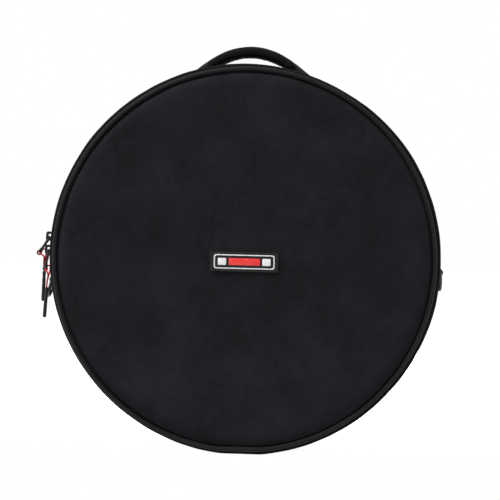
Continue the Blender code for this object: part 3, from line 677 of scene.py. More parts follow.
bpy.ops.mesh.primitive_plane_add(size=FLOOR_SIZE, location=(0, FLOOR_FRONT + FLOOR_SIZE / 2, 0))
floor = named("floor")
pale_floor, place, _ = board("pale_floor", Specular_IOR_Level=0.2, Roughness=0.8,
                             Emission_Color=(1, 1, 1, 1))
plug(pale_floor, Base_Color=place.grain(0.5, 2).blend([FLOOR_COLOUR - FLOOR_CLOUDS] * 3,
                                                      [FLOOR_COLOUR + FLOOR_CLOUDS] * 3),
     Emission_Strength=seen_directly(place) * FLOOR_GLOW)
floor.data.materials.append(pale_floor)

for name, place, size, power in LAMPS:
    bpy.ops.object.light_add(type="AREA", location=place)
    lamp = bpy.context.object
    lamp.name, lamp.data.size, lamp.data.energy = name, size, power
    lamp.rotation_euler = (Vector((0, 0, MIDDLE)) - Vector(place)).to_track_quat("-Z", "Y").to_euler()
print("room and lamps ready")

# %% [markdown]
# ## Finishing a piece
# Every finished piece is shaded, gets its material, rides on its body, and stands for its nodes of
# the CAD model. Small things that repeat, such as stitches and zip teeth, are modelled once with
# a few faces, and the copies are gathered in one piece.
# %% Finishing and copying
STITCH_PITCH, STITCH_LENGTH = 0.0036, 0.0029


def complete(piece, body, slot, material, *nodes, sharp_over=40):
    """Shades a piece, gives it its material and puts it on its body; the slot is not used."""
    take(piece)
    bpy.ops.object.shade_smooth_by_angle(angle=radians(sharp_over))
    piece.data.materials.clear()
    piece.data.materials.append(material)
    if body:
        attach(piece, body)
    if nodes:
        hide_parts(*nodes)
    print(piece.name, len(piece.data.polygons), "faces")
    return piece


def copies(name, pattern, places):
    """Gathers a copy of a small pattern at each place, given as a matrix, in one piece."""
    points, mesh = points_of(pattern), pattern.data
    corner_map = values(mesh.uv_layers[0].data, "uv", 2)
    matrices = [np.array(place) for place in places]
    rows = np.concatenate([points @ matrix[:3, :3].T + matrix[:3, 3] for matrix in matrices])
    faces = [[index * len(points) + corner for corner in face.vertices]
             for index in range(len(places)) for face in mesh.polygons]
    made = bpy.data.meshes.new(name)
    made.from_pydata(rows, [], faces)
    made.uv_layers.new(name="UVMap").data.foreach_set("uv", np.tile(corner_map, len(places)))
    bpy.data.objects.remove(pattern, do_unlink=True)
    piece = bpy.data.objects.new(name, made)
    bpy.context.scene.collection.objects.link(piece)
    return piece


def joined(name, pieces):
    """Joins pieces into one, under one name."""
    take(pieces[0])
    for piece in pieces[1:]:
        piece.select_set(True)
    bpy.ops.object.join()
    return named(name)


def laid(x, y, z, place):
    """The matrix that lays a pattern's three directions along three others, at a place."""
    matrix = Matrix((x, y, z)).transposed().to_4x4()
    matrix.translation = place
    return matrix


def one_stitch():
    """A stitch: a short thread that dips into the cloth at both ends."""
    bpy.ops.mesh.primitive_uv_sphere_add(segments=6, ring_count=5, radius=0.5)
    stitch = place_piece(named("stitch"), (0, 0, 0), 90)
    stitch.scale = (STITCH_LENGTH, 0.00055, 0.00050)
    return map_box(settle(stitch))


def stitch_row(name, places, outside=from_axis, pitch=STITCH_PITCH):
    """Stitches along a line of places; outside gives the outward direction at a place."""
    places = [Vector(place) for place in places]
    ends, walked = [places[0]], 0.0
    for here, there in zip(places, places[1:]):
        length = (there - here).length
        spot = pitch - walked
        while spot <= length:
            ends.append(here.lerp(there, spot / length))
            spot += pitch
        walked = length - (spot - pitch)
    rows = []
    for here, there in zip(ends, ends[1:]):
        along = (there - here).normalized()
        across = outside((here + there) / 2).cross(along).normalized()
        rows.append(laid(along, across, along.cross(across), (here + there) / 2))
    return copies(name, one_stitch(), rows)


def stitch_ring(name, radius, y, pitch, span=(0, tau), count=500, outside=from_axis):
    """Stitches round the bag at one depth, between two angles in radians."""
    angles = np.linspace(*span, count)
    if radius is None:
        radius = wall_radius(angles, y) + 0.00012
    return stitch_row(name, flatten_foot(from_polar(radius, angles, y)), outside, pitch)


print("finishing helpers ready")

# %% [markdown]
# ## Pull cords
# Each slider has a pull: a thin red braid looped through the hole of its tab, with both ends in a
# moulded rubber stick. A cord has a real length, so it is drawn as one smooth curve through the
# points of its route, at its real thickness. The points are measured from the middle of the tab's
# hole: outwards to the left, forwards, and up.
# %% Routes of the cords
CORD_RADIUS = 0.0008
CORD_STEP = 0.0010
ROUTES = {"upper": (
    (-0.0049, -0.0058, -0.0197), (-0.0042, -0.0058, -0.0155), (-0.0044, -0.0044, -0.0110),
    (-0.0049, -0.0012, -0.0068), (-0.0051, 0.0020, -0.0038), (-0.0036, 0.0039, -0.0023),
    (-0.0014, 0.0035, -0.0010), (-0.0002, 0.0018, -0.0001), (0.0000, 0.0000, 0.0000),
    (0.0000, -0.0018, 0.0002), (-0.0010, -0.0042, 0.0018), (-0.0032, -0.0060, 0.0040),
    (-0.0054, -0.0070, 0.0029), (-0.0061, -0.0074, -0.0014), (-0.0052, -0.0074, -0.0080),
    (-0.0042, -0.0074, -0.0155), (-0.0049, -0.0074, -0.0197)), "lower": (
    (-0.0022, 0.0023, -0.0198), (-0.0023, 0.0023, -0.0150), (-0.0029, 0.0026, -0.0105),
    (-0.0034, 0.0033, -0.0062), (-0.0024, 0.0040, -0.0028), (-0.0008, 0.0033, -0.0008),
    (0.0000, 0.0018, -0.0001), (0.0000, 0.0000, 0.0000), (0.0000, -0.0018, 0.0001),
    (-0.0005, -0.0035, 0.0010), (-0.0020, -0.0040, 0.0030), (-0.0041, -0.0034, 0.0033),
    (-0.0050, -0.0022, 0.0006), (-0.0044, -0.0008, -0.0040), (-0.0032, 0.0003, -0.0095),
    (-0.0023, 0.0007, -0.0150), (-0.0022, 0.0007, -0.0198))}


def smooth_route(points, step):
    """Places about one step apart on a smooth curve through a route's points."""
    padded = [2 * points[0] - points[1], *points, 2 * points[-1] - points[-2]]
    route = [points[0]]
    for p0, p1, p2, p3 in zip(padded, padded[1:], padded[2:], padded[3:]):
        count = max(1, round((p2 - p1).length / step))
        for t in (k / count for k in range(1, count + 1)):
            route.append(0.5 * (2 * p1 + (p2 - p0) * t + (2 * p0 - 5 * p1 + 4 * p2 - p3) * t ** 2
                                + (3 * p1 - p0 - 3 * p2 + p3) * t ** 3))
    return route


def length_of(places):
    return sum((b - a).length for a, b in zip(places, places[1:]))


def tube(name, places, radius, closed=False):
    """A round cord or wire along places, mapped along it and then round it, in metres."""
    curve = bpy.data.curves.new(name, "CURVE")
    curve.dimensions, curve.bevel_depth, curve.bevel_resolution = "3D", radius, 4
    curve.use_fill_caps = not closed
    spline = curve.splines.new("POLY")
    spline.points.add(len(places) - 1)
    for point, place in zip(spline.points, places):
        point.co = (*place, 1)
    spline.use_cyclic_u = closed
    piece = bpy.data.objects.new(name, curve)
    bpy.context.scene.collection.objects.link(piece)
    take(piece)
    bpy.ops.object.convert(target="MESH")
    layer = named(name).data.uv_layers[0].data
    size = [length_of(places), tau * radius]
    layer.foreach_set("uv", (values(layer, "uv", 2).reshape(-1, 2)[:, ::-1] * size).ravel())
    return outwards(piece)


pulls = {}
for word, route in ROUTES.items():
    hole = joint_place(f"{word}_cord_swing")
    route = smooth_route([hole + Vector((-out, -forward, up)) for out, forward, up in route], CORD_STEP)
    cord = tube(f"{word}_pull_braid", route, CORD_RADIUS)
    complete(cord, f"{word}_pull", "pull_cord", red_braid, f"{word}_pull_cord", sharp_over=60)
    pulls[word] = cord, route
    print(word, "pull cord:", round(length_of(route) * 1000, 1), "mm")

# %% [markdown]
# The rubber stick is turned like a candlestick: its outline is drawn from the top to the bottom
# and spun round its own axis. It has a collar where the cord goes in, two thin grip grooves under
# it, and a rounded tip.
# %% Rubber ends of the pulls
RUBBER_RADIUS, RUBBER_LENGTH = 0.0019, 0.031
RUBBER_LEAN = {"upper": 1.0, "lower": 3.0}


def turned(name, profile, steps=24, closed=False):
    """Spins an outline of (radius, height) points round the upright axis at the origin."""
    return spin(draw(name, [(radius, 0, height) for radius, height in profile], closed), steps)


r, end = RUBBER_RADIUS, -RUBBER_LENGTH
outline = [(0, 0.0006), (0.0010, 0.0006), (0.0014, 0.0004), (r, -0.0002), (r, -0.0028),
           (r - 0.0002, -0.0031)]
for groove in (-0.0046, -0.0060):
    outline += [(r - 0.0001, groove + 0.0004), (r - 0.0003, groove + 0.0002),
                (r - 0.0003, groove - 0.0002), (r - 0.0001, groove - 0.0004)]
outline += [(r - 0.0001, -0.0072), (r, -0.0084), (r, -0.0150), (r, -0.0220), (r, end + 0.0016),
            (r - 0.00012, end + 0.0008), (r - 0.0005, end + 0.0002), (0, end)]

for word, (cord, route) in pulls.items():
    rubber = map_box(turned(f"{word}_pull_rubber", outline))
    place_piece(rubber, (route[0] + route[-1]) / 2, RUBBER_LEAN[word])
    complete(rubber, f"{word}_pull", "pull_rubber", pull_rubber, f"{word}_pull_rubber_end")
    length_of(route)

# %% [markdown]
# ## Shape of the padded wall
# Soft walls are never quite round. One rule gives the radius of the outer cloth at any angle and
# depth, and the skin, the stitches and the patches all use it, so they stay on each other. The
# cloth swells a little between its seams, dips at the stitched hems beside the zip, and stays
# plain under the handle's patches and the D-ring loops.
# %% Radius of the outer cloth
SKIN = 0.0012
BAND_SEAM = 0.0907
SHOULDER_LENGTH, SHOULDER_DROP = 0.0080, 0.0048
HEM, HEM_STITCHES = 0.0050, 0.0024
LID_SWELL = 0.0022
PLAIN_PLACES = ((-27.3, 9, HANDLE_Y), (27.3, 9, HANDLE_Y), (-97.5, 10, RING_Y), (92.5, 10, RING_Y))


def shoulder(y):
    """How far the cloth curves in towards the piping at either end."""
    past = np.clip((np.abs(y) - (BAND_SEAM - SHOULDER_LENGTH)) / SHOULDER_LENGTH, 0, 1)
    return SHOULDER_DROP * (1 - np.sqrt(np.maximum(0, 1 - past ** 2 * 0.98)))


def plain_share(angle, y):
    """1 under the patches and loops on the body's band, 0 elsewhere."""
    share = sum(bump_at(angle, degrees, width) * np.exp(-((y - middle) / 0.022) ** 4)
                for degrees, width, middle in PLAIN_PLACES)
    return np.clip(share * 1.6, 0, 1)


def wall_radius(angle, y):
    """Radius of the outer cloth of the side band, before its foot is flattened."""
    y = y + 0 * angle
    rows = from_polar(RADIUS, angle, y)
    in_lid = y < ZIP
    across = np.clip((y - ZIP) / (np.where(in_lid, -BAND_SEAM, BAND_SEAM) - ZIP), 0, 1)
    swell = np.sin(pi * across) ** 0.8
    pulled_in = 1.25 * bump_at(angle, 22, 15) + bump_at(angle, 226, 42)
    radius = RADIUS + np.where(in_lid, LID_SWELL * swell * (1 - 0.75 * np.clip(pulled_in, 0, 1)),
                               0.0003 * swell)
    soft = np.where(in_lid, 0.00045, 0.0010) * waves(rows, 0.045, 1) * swell
    fine = 0.00028 * waves(rows, 0.013, 2) * swell
    from_zip = np.abs(y - ZIP) - HEM
    dip, fold = 0.0005 * bell(from_zip - HEM_STITCHES, 0.0011), 0.0009 * bell(from_zip, 0.0007)
    plain = plain_share(angle, y)
    return (radius + soft + fine) * (1 - plain) + RADIUS * plain - dip - fold - shoulder(y)


print("cloth radius at the lid's middle:", round(wall_radius(np.ones(1) * 1.2, -0.075)[0] * 1000, 2), "mm")

# %% [markdown]
# ## Side bands
# The outer cloth of the lid's shallow side and of the body's deep side. A line across the band is
# spun round the bag's axis, each point is then moved to the radius of the rule above, and the
# cloth gets its thickness. The edge beside the zip is a folded hem, sewn down by a row of stitches
# that follows the cloth's own radius.
# %% Side bands


def across_band(start, end, rows):
    """Depths from one edge to the other, closer together near both edges."""
    return [start + (end - start) * (0.5 - 0.5 * cos(pi * i / rows)) for i in range(rows + 1)]


for (half, body, side), rows in zip(BANDS, (18, 40)):
    line = [(RADIUS, y) for y in across_band(ZIP + side * HEM, side * BAND_SEAM, rows)]
    band = lathe(f"{half}_side_cloth", line, closed=False)
    remould(band, lambda rows, radius, angle, y: (wall_radius(angle, y), angle, y))
    map_band(thicken(stand(band), from_axis, SKIN))
    complete(band, body, "band_fabric", band_cloth, f"{half}_side_band")
    row = stitch_ring(f"{half}_hem_stitches", None, ZIP + side * (HEM + HEM_STITCHES), STITCH_PITCH,
                      count=720)
    complete(row, body, "band_fabric", thread)

# %% [markdown]
# ## Round panels
# The padded front and rear. A panel is cloth laminated on foam and sewn in at its rim, so it is
# flat in the middle, rounds off over the last finger's width, and dives into the seam beside the
# piping. Pulled thread gathers the rim: there are faint ripples all round, a few real puckers, and
# one slanting crease. Each is a push or pull on the spun mesh, as with a sculpting brush.
# %% Shape of a panel
PANEL_SHOULDER, PANEL_DROP = 0.0141, 0.0050
SHOULDER_STEPS = 10
EDGE_TUCK = 0.0012
SWELL_DEPTH = 0.0011
PANEL_SEED = {-1: 3, 1: 11}
RIM_RIPPLES = 118
CREASE_TURN = 0.95
PLATE_FREE = (0.052, 0.024)
# Puckers: degrees round the rim, width in degrees, depth
PUCKERS = ((330, 2.6, 0.0011), (342, 2.0, 0.0008), (352, 2.4, 0.0010), (5, 2.0, 0.0008),
           (61, 3.0, 0.0006), (118, 2.6, 0.0006), (207, 3.0, 0.0005), (283, 3.2, 0.0009))
# Humps (+) and hollows (-) of the front pad: x and z from the middle, half sizes, height, in mm
FRONT_HUMPS = (
    (-5, -128, 120, 40, 3.4), (-85, -152, 34, 22, 1.3), (98, -128, 34, 22, 1.2),
    (-112, 104, 30, 24, -1.5), (-50, 150, 22, 18, -1.3), (14, 166, 14, 14, -0.8),
    (80, 134, 30, 24, -1.6), (136, 57, 34, 20, -1.5), (140, -24, 30, 26, -1.3),
    (-150, 32, 26, 13, -0.8), (-150, -38, 26, 16, -0.9), (-156, -102, 22, 15, -0.8),
    (30, 60, 90, 60, -0.9), (0, 182, 110, 11, 0.8))


def panel_profile(face):
    """Section from under the piping over the rim to the middle; face is -1 in front, 1 behind."""
    rim = [(0.1952, 0.0899), (0.1933, 0.0900), (0.1922, 0.0904), (PANEL_RADIUS, 0.0908)]
    for step in range(SHOULDER_STEPS + 1):
        t = pi / 2 * (1 - step / SHOULDER_STEPS)
        tuck = EDGE_TUCK * max(0, sin(t) - 0.5) ** 2 * 4
        rim.append((PANEL_RADIUS - PANEL_SHOULDER + PANEL_SHOULDER * sin(t),
                    REAR - PANEL_DROP * (1 - cos(t)) - tuck))
    flat = [(radius / 1000, REAR) for radius in
            (173, 168, 162, 155, 147, 139, 131, 123, 115, 107, 99, 90, 81, 71, 60, 48, 35, 20, 0)]
    return [(radius, face * y) for radius, y in rim + flat]


def pad_height(rows, face):
    """How far the panel stands out from its plain shape, outwards."""
    seed = PANEL_SEED[face]
    radius, angle, _ = polar(rows)
    x, z = rows[:, 0], rows[:, 2] - MIDDLE
    inside = np.clip((PANEL_RADIUS - radius) / 0.012, 0, 1)
    behind_plate = np.exp(-(x / PLATE_FREE[0]) ** 4 - (z / PLATE_FREE[1]) ** 4)
    swell = SWELL_DEPTH * waves(rows, 0.075, seed) + 0.00030 * waves(rows, 0.030, seed + 1)
    for middle_x, middle_z, wide, tall, high in FRONT_HUMPS * (face < 0):
        swell += high / 1000 * bell(x * 1000 - middle_x, wide) * bell(z * 1000 - middle_z, tall)
    height = swell * inside * (1 - behind_plate * (face < 0))
    ripple = np.sin(angle * RIM_RIPPLES + 2.5 * waves(rows, 0.05, seed + 2))
    height += (0.00013 * ripple + 0.00045 * waves(rows, 0.016, seed + 3)) * bell(
        PANEL_RADIUS - 0.009 - radius, 0.008)
    for degrees, width, depth in PUCKERS:
        dent = bump_at(angle, degrees, width) - 0.55 * bump_at(angle, degrees + 2.0 * width, width)
        height -= depth * dent * bell(PANEL_RADIUS - 0.010 - radius, 0.009)
    if face < 0:
        along = x * cos(CREASE_TURN) + z * sin(CREASE_TURN)
        beside = z * cos(CREASE_TURN) - x * sin(CREASE_TURN)
        height -= 0.0007 * bell(along + 0.085, 0.022) * bell(beside - 0.150, 0.0045)
    return height


for half, body, face in PANELS:
    def padded_shape(rows, radius, angle, y):
        """Draws the rim in at the seam and lifts the pad."""
        rim = np.clip((radius - 0.186) / 0.004, 0, 1) * (radius < PANEL_RADIUS + 0.0001)
        drawn_in = rim * (0.00050 + 0.00035 * waves(rows, 0.06, PANEL_SEED[face] + 4))
        return radius - drawn_in, angle, y + face * pad_height(rows, face)

    panel = lathe(f"{half}_panel_cloth", panel_profile(face), closed=False)
    stand(thicken(remould(panel, padded_shape), lambda place: Vector((0, face, 0)), SKIN))
    map_front(panel)
    complete(panel, body, "panel_fabric", panel_cloth, f"{half}_panel")

# %% [markdown]
# ## Piping
# A round cord wrapped in cloth is sewn into the seam between each panel and its band, and it makes
# the hard line of the outline. Its circle is spun round the bag. The wrapped cloth is cut on the
# slant and ripples a little. The front piping starts and ends in an overlap at the bottom: a short
# sleeve, a little thicker, with a turned-in end.
# %% Piping
PIPING_SIDES = 14
PIPING_RIPPLES = 97
JOIN_ENDS = (radians(175.0), radians(181.3))
JOIN_THICKER = 0.00032


def piping_section(y, radius):
    turns = [tau * i / PIPING_SIDES for i in range(PIPING_SIDES)]
    return [(PIPING_RING + radius * cos(t), y + radius * sin(t)) for t in turns]


def finish_piping(piece, body, ring_y, *nodes):
    """Maps it along the ring, then round the cord."""
    def rule(rows, corners):
        radius, angle, y = polar(rows)
        turns = np.stack([angle, np.arctan2(y - ring_y, radius - PIPING_RING)], axis=1)[corners]
        return whole_faces(piece, turns) * [PIPING_RING, PIPING_RADIUS]
    stand(map_piece(piece, rule))
    complete(piece, body, "piping_fabric", piping_cloth, *nodes)


def piping_shift(angle, rows):
    """The ring is not a true circle: it leans out at the lower left and wanders a little."""
    return 0.0004 * bump_at(angle, 226, 45) + 0.0003 * waves(rows, 0.09, 21)


for (half, body, face), seed in zip(PANELS, (22, 23)):
    ring_y = face * PIPING_DEPTH

    def rippled(rows, radius, angle, y):
        """Lets the cord's thickness vary along the ring."""
        on_ring = from_polar(PIPING_RING, angle, ring_y)
        thickness = (1 + 0.035 * waves(on_ring, 0.011, seed)
                     + 0.02 * np.sin(angle * PIPING_RIPPLES))
        radius = PIPING_RING + (radius - PIPING_RING) * thickness + piping_shift(angle, on_ring)
        return radius, angle, ring_y + (y - ring_y) * thickness

    ring = lathe(f"{half}_piping_cover", piping_section(ring_y, PIPING_RADIUS))
    finish_piping(remould(ring, rippled), body, ring_y, f"{half}_piping")


def flatter_outside(rows, radius, angle, y):
    """Follows the ring and is pressed flat on its outer side."""
    radius = radius + piping_shift(angle, rows)
    return np.where(radius > PIPING_RING, PIPING_RING + (radius - PIPING_RING) * 0.93, radius), angle, y


sleeve = lathe("front_piping_join", piping_section(-PIPING_DEPTH, PIPING_RADIUS + JOIN_THICKER), 12,
               ends=JOIN_ENDS)
finish_piping(remould(sleeve, flatter_outside), "lid", -PIPING_DEPTH)
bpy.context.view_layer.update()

# %% [markdown]
# ## Tools for straps, patches and soft rings
# A strap is a flat grid laid along a route: its long side follows the route and its short side
# goes across. A patch is the same grid wrapped round the bag. A ring of foam or folded tape is a
# section with rounded corners, spun round the axis.
# %% Straps, patches and rings


def rounded(corners, radius, steps=3, closed=True):
    """Rounds the corners of an outline of 2D points."""
    outline, last = [], len(corners)
    for i, corner in enumerate(corners):
        corner = Vector(corner)
        if not closed and i in (0, last - 1):
            outline.append(tuple(corner))
            continue
        before, after = Vector(corners[i - 1]) - corner, Vector(corners[(i + 1) % last]) - corner
        reach = min(radius, 0.45 * before.length, 0.45 * after.length)
        a, b = corner + before.normalized() * reach, corner + after.normalized() * reach
        outline += [tuple(a * (1 - t) ** 2 + corner * 2 * t * (1 - t) + b * t ** 2)
                    for t in (step / steps for step in range(steps + 1))]
    return outline


def flat_grid(name, long_steps, short_steps):
    """A grid from 0 to 1 both ways, in its own x and y."""
    bpy.ops.mesh.primitive_grid_add(x_subdivisions=long_steps, y_subdivisions=short_steps, size=1,
                                    location=(0.5, 0.5, 0))
    return settle(named(name))


def route_frame(route):
    """Lengths, places and outward directions along a route in the bag's XZ plane."""
    rows = np.array([tuple(place) for place in route])
    lengths = np.concatenate([[0], np.cumsum(np.linalg.norm(np.diff(rows, axis=0), axis=1))])
    along = np.gradient(rows, axis=0)
    along /= np.linalg.norm(along, axis=1)[:, None]
    return lengths, rows, np.stack([-along[:, 2], np.zeros(len(rows)), along[:, 0]], axis=1)


def on_route(route, distance, height):
    """Places at distances along a route, lifted off it by a height."""
    lengths, rows, outward = route_frame(route)
    place, lift = (np.stack([np.interp(distance, lengths, line[:, k]) for k in range(3)], axis=1)
                   for line in (rows, outward))
    return place + lift / np.linalg.norm(lift, axis=1)[:, None] * np.reshape(height, (-1, 1))


def strap(name, route, width, thickness, steps, edge=0.0006, padding=None):
    """Webbing of a width, centred on a route, with rounded edges; padding thickens it by a rule."""
    piece = flat_grid(name, steps, 9)
    lengths, middle, outward = route_frame(route)
    flat = points_of(piece) * [lengths[-1], width, 1]
    rows = on_route(route, flat[:, 0], 0.00012 * waves(flat, 0.012, len(name)))
    rows[:, 1] += flat[:, 1] - width / 2
    map_copy_of(piece, flat[:, :2])
    outwards(put_points(piece, rows))
    grow(piece, "SOLIDIFY", thickness=thickness, offset=0, use_even_offset=True)
    if padding:
        rows = points_of(piece)
        line = np.interp(rows[:, 0], middle[:, 0], middle[:, 2])
        lean = np.interp(rows[:, 0], middle[:, 0], outward[:, 2])
        edge_share = 1 - 0.55 * np.abs((rows[:, 1] - middle[0, 1]) / (width / 2)) ** 4
        rows[:, 2] += (np.sign((rows[:, 2] - line) * lean) * padding(np.abs(rows[:, 0]))
                       * edge_share / lean)
        put_points(piece, rows)
    return ease(piece, edge)


def patch(name, angle, length, y, width, lift, thickness, steps=(16, 14)):
    """A cloth patch sewn flat on the band: its length goes round the bag, its width along Y."""
    piece = flat_grid(name, *steps)
    flat = (points_of(piece)[:, :2] - 0.5) * [length, width]
    map_copy_of(piece, flat)
    put_points(piece, from_polar(RADIUS + lift, angle + flat[:, 0] / RADIUS, y + flat[:, 1]))
    return ease(thicken(piece, from_axis, thickness, 1), thickness * 0.42)


def soft_ring(name, corners, rounding, seed, wander):
    """A ring of foam or tape with a rounded section, slightly uneven."""
    ring = lathe(name, rounded(corners, rounding), steps=160)
    remould(ring, lambda rows, radius, angle, y:
            (radius + wander * waves(rows, 0.03, seed) * (radius > 0.01), angle, y))
    return map_band(stand(ring))


print("straps, patches and rings ready")

# %% [markdown]
# ## Inside of the padded wall
# Foam, lining and the tape over the inside seam don't show while the bag is shut, but the lid
# opens. The foam fills the wall. The brushed lining rounds over the foam's edge and is sewn to the
# zip tape, so no foam shows at the opening. A ribbed tape is folded over the raw inside seam.
# %% Foam
FOAM_INSIDE, FOAM_OUTSIDE, FOAM_HEM = 0.1884, 0.1983, 0.1972
LINING_OUTSIDE = 0.1881
BAND_FOAM_END = 0.0868


def facing(profile, face):
    """A profile of the rear as it is, or turned round for the front."""
    return [(radius, face * y) for radius, y in profile]


for half, body, face in PANELS:
    corners = [(radius / 1000, 0.0958) for radius in range(0, 176, 7)]
    corners += [(0.1800, 0.0955), (0.1840, 0.0940), (0.1870, 0.0915), (0.1870, 0.0870), (0.0, 0.0870)]
    pad = lathe(f"{half}_panel_padding", facing(corners, face), steps=120, closed=False)
    rows = points_of(pad)
    pressed = np.minimum(0, pad_height(rows, face)) - 0.0002
    rows[:, 1] += face * pressed * (np.abs(rows[:, 1]) > 0.0875)
    map_front(stand(put_points(pad, rows)))
    complete(pad, body, "foam", grey_foam, f"{half}_panel_foam")

for half, body, side in BANDS:
    zip_edge, tape_edge, end = ZIP + side * 0.009, ZIP + side * 0.0165, side * BAND_FOAM_END
    corners = [(FOAM_INSIDE, end), (FOAM_HEM, end), (FOAM_OUTSIDE, end - side * 0.005),
               (FOAM_OUTSIDE, tape_edge), (FOAM_HEM, tape_edge), (FOAM_HEM, zip_edge),
               (FOAM_INSIDE, zip_edge)]
    pad = soft_ring(f"{half}_band_padding", corners, 0.0012, 31, 0.00008)
    complete(pad, body, "foam", grey_foam, f"{half}_band_foam")

# %% [markdown]
# The lining is laid like wallpaper: a disc on each panel, and a strip round each band that rolls
# outwards at the zip to meet the tape.
# %% Lining and seam tape
LINING = 0.0008
LINING_DEPTH = 0.0867
ROLL_STEPS = 5

for (half, body, face), seed in zip(PANELS, (41, 42)):
    profile = [(radius / 1000, LINING_DEPTH) for radius in
               (186.6, 185, 182, 176, 168, 158, 146, 132, 116, 98, 80, 60, 40, 20, 0)]
    disc = lathe(f"{half}_lining_disc", facing(profile, face), steps=160, closed=False)
    rows = points_of(disc)
    free = np.clip((0.184 - polar(rows)[0]) / 0.02, 0, 1)
    rows[:, 1] -= face * free * (0.0005 + 0.0009 * waves(rows, 0.05, seed))
    thicken(put_points(disc, rows), lambda place: Vector((0, -face, 0)), LINING, 1)
    complete(map_front(stand(disc)), body, "lining", brushed_lining, f"{half}_panel_lining")

for (half, body, side), seed in zip(BANDS, (43, 44)):
    start, end = ZIP + side * 0.0040, side * 0.0862
    turns = [pi / 2 * i / ROLL_STEPS for i in range(ROLL_STEPS + 1)]
    roll = [(0.1970 - 0.0089 * sin(t), start + side * 0.0046 * (1 - cos(t))) for t in turns]
    inner = [(LINING_OUTSIDE, y) for y in across_band(roll[-1][1] + side * 0.003, end, 12)]
    strip = lathe(f"{half}_lining_strip", roll + inner, steps=180, closed=False)

    def slack(rows, radius, angle, y):
        """Lets the flat of the strip sag off the foam."""
        flat = np.clip((LINING_OUTSIDE + 0.0004 - radius) / 0.0004, 0, 1)
        return radius - flat * (0.0003 + 0.0005 * waves(rows, 0.05, seed)), angle, y

    thicken(remould(strip, slack), to_axis, LINING, 1)
    complete(map_band(stand(strip)), body, "lining", brushed_lining, f"{half}_band_lining")

for half, body, face in PANELS:
    corners = facing([(0.1845, 0.0856), (0.1868, 0.0856), (0.1868, 0.0776), (0.1845, 0.0776)], face)
    binding = soft_ring(f"{half}_seam_tape", corners, 0.0010, 51 + face, 0.0003)
    complete(binding, body, "binding_tape", binding_tape, f"{half}_seam_binding")
    row = stitch_ring(f"{half}_seam_stitches", 0.1843, face * 0.0800, 0.0045, count=400,
                      outside=to_axis)
    complete(row, body, "binding_tape", thread)

# %% [markdown]
# ## Zip
# The zip is a coil zip: each half is a knitted tape with a nylon coil sewn to its edge. It runs
# nearly all round and leaves a hinge of cloth at the bottom.
# %% Zip tapes
TAPE = 0.0008
TAPE_WIDTH, TAPE_EDGE_GAP = 0.01585, 0.00015
ZIP_END = pi - HINGE_ANGLE

for half, body, side in BANDS:
    depths = [ZIP + side * (TAPE_EDGE_GAP + TAPE_WIDTH * i / 6) for i in range(7)]
    strip = lathe(f"{half}_zip_strip", [(TAPE_OUTSIDE, y) for y in depths], steps=216, closed=False,
                  ends=(-ZIP_END, ZIP_END))
    map_band(stand(thicken(strip, from_axis, TAPE)))
    complete(strip, body, "zip_tape", zip_tape, f"{half}_zip_tape")
    row = stitch_ring(f"{half}_coil_stitches", TAPE_OUTSIDE + 0.0001, ZIP + side * 0.0031, 0.0030,
                      (-ZIP_END, ZIP_END))
    complete(row, body, "zip_tape", thread)

# %% [markdown]
# One loop of the coil is modelled as a bent little bar with a thicker head and copied some 700
# times on each half; the halves are half a pitch apart, so their heads stand between each other.
# %% Zip teeth
TOOTH_PITCH = 0.0016
TOOTH_SIZE = (0.00070, 0.0030, 0.0021)
TOOTH_PAST_MIDDLE = 0.0006
TOOTH_PHASE = {"lid": 0.0, "body": 0.5}


def one_tooth():
    """One loop of the coil: its head is at the -y end."""
    bpy.ops.mesh.primitive_cube_add(size=1)
    tooth = named("tooth")
    tooth.scale = TOOTH_SIZE
    settle(tooth)
    edit(tooth, "EDGE")
    bpy.ops.mesh.bevel(offset=0.00021, segments=1, affect="EDGES")
    close()
    rows = points_of(tooth)
    head = rows[:, 1] < -0.0008
    rows[head] *= [1.14, 1, 0.88]
    rows[:, 1] += TOOTH_SIZE[1] / 2 - TOOTH_PAST_MIDDLE
    return map_box(put_points(tooth, rows))


for half, body, side in BANDS:
    places = []
    for i in range(int(2 * ZIP_END * COIL_RING / TOOTH_PITCH) - 1):
        angle = -ZIP_END + (i + 0.75 + TOOTH_PHASE[half]) * TOOTH_PITCH / COIL_RING
        along = Vector((cos(angle), 0, -sin(angle)))
        places.append(laid(along * side, Vector((0, side, 0)), from_axis(at(1, angle, 0)),
                           at(COIL_RING, angle, ZIP)))
    teeth = copies(f"{half}_zip_teeth", one_tooth(), places)
    complete(teeth, body, "zip_coil", zip_nylon, f"{half}_zip_coil", sharp_over=60)

# %% [markdown]
# The zip ends in small folded stops sewn on the body. Between them the two tapes are one web of
# cloth, the hinge between the bag and the lid. On the real bag it bends when the lid drops open;
# here it is one fixed piece that rides on neither body.
# %% Zip stops and hinge web
STOP_LENGTH, STOP_WIDTH, STOP_THICK = 0.010, 0.0042, 0.0021
STOP_Y = ZIP + 0.0025
WEB_HALF, WEB_GAP = 0.0155, 0.002

for word, side in SIDES:
    angle = side * (ZIP_END + STOP_LENGTH / 2 / RADIUS + radians(0.1))
    stop = patch(f"zip_end_stop_{word}", angle, STOP_LENGTH, STOP_Y, STOP_WIDTH, -0.0012, STOP_THICK,
                 (8, 6))
    complete(stop, "bag", "band_fabric", binding_tape, f"zip_stop_{word}")
    row = stitch_ring(f"zip_stop_stitches_{word}", RADIUS + 0.0010, STOP_Y, 0.0016,
                      (angle - 0.004 / RADIUS, angle + 0.004 / RADIUS))
    complete(row, "bag", "band_fabric", thread)

line = [(TAPE_OUTSIDE, ZIP + WEB_HALF * (i / 12 - 1)) for i in range(25)]
web = lathe("hinge_web", line, steps=48, closed=False,
            ends=(ZIP_END + WEB_GAP, tau - ZIP_END - WEB_GAP))
map_band(stand(thicken(web, from_axis, TAPE)))
complete(web, None, "zip_tape", zip_tape, "body_hinge_leaf", "lid_hinge_leaf")
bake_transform(web)

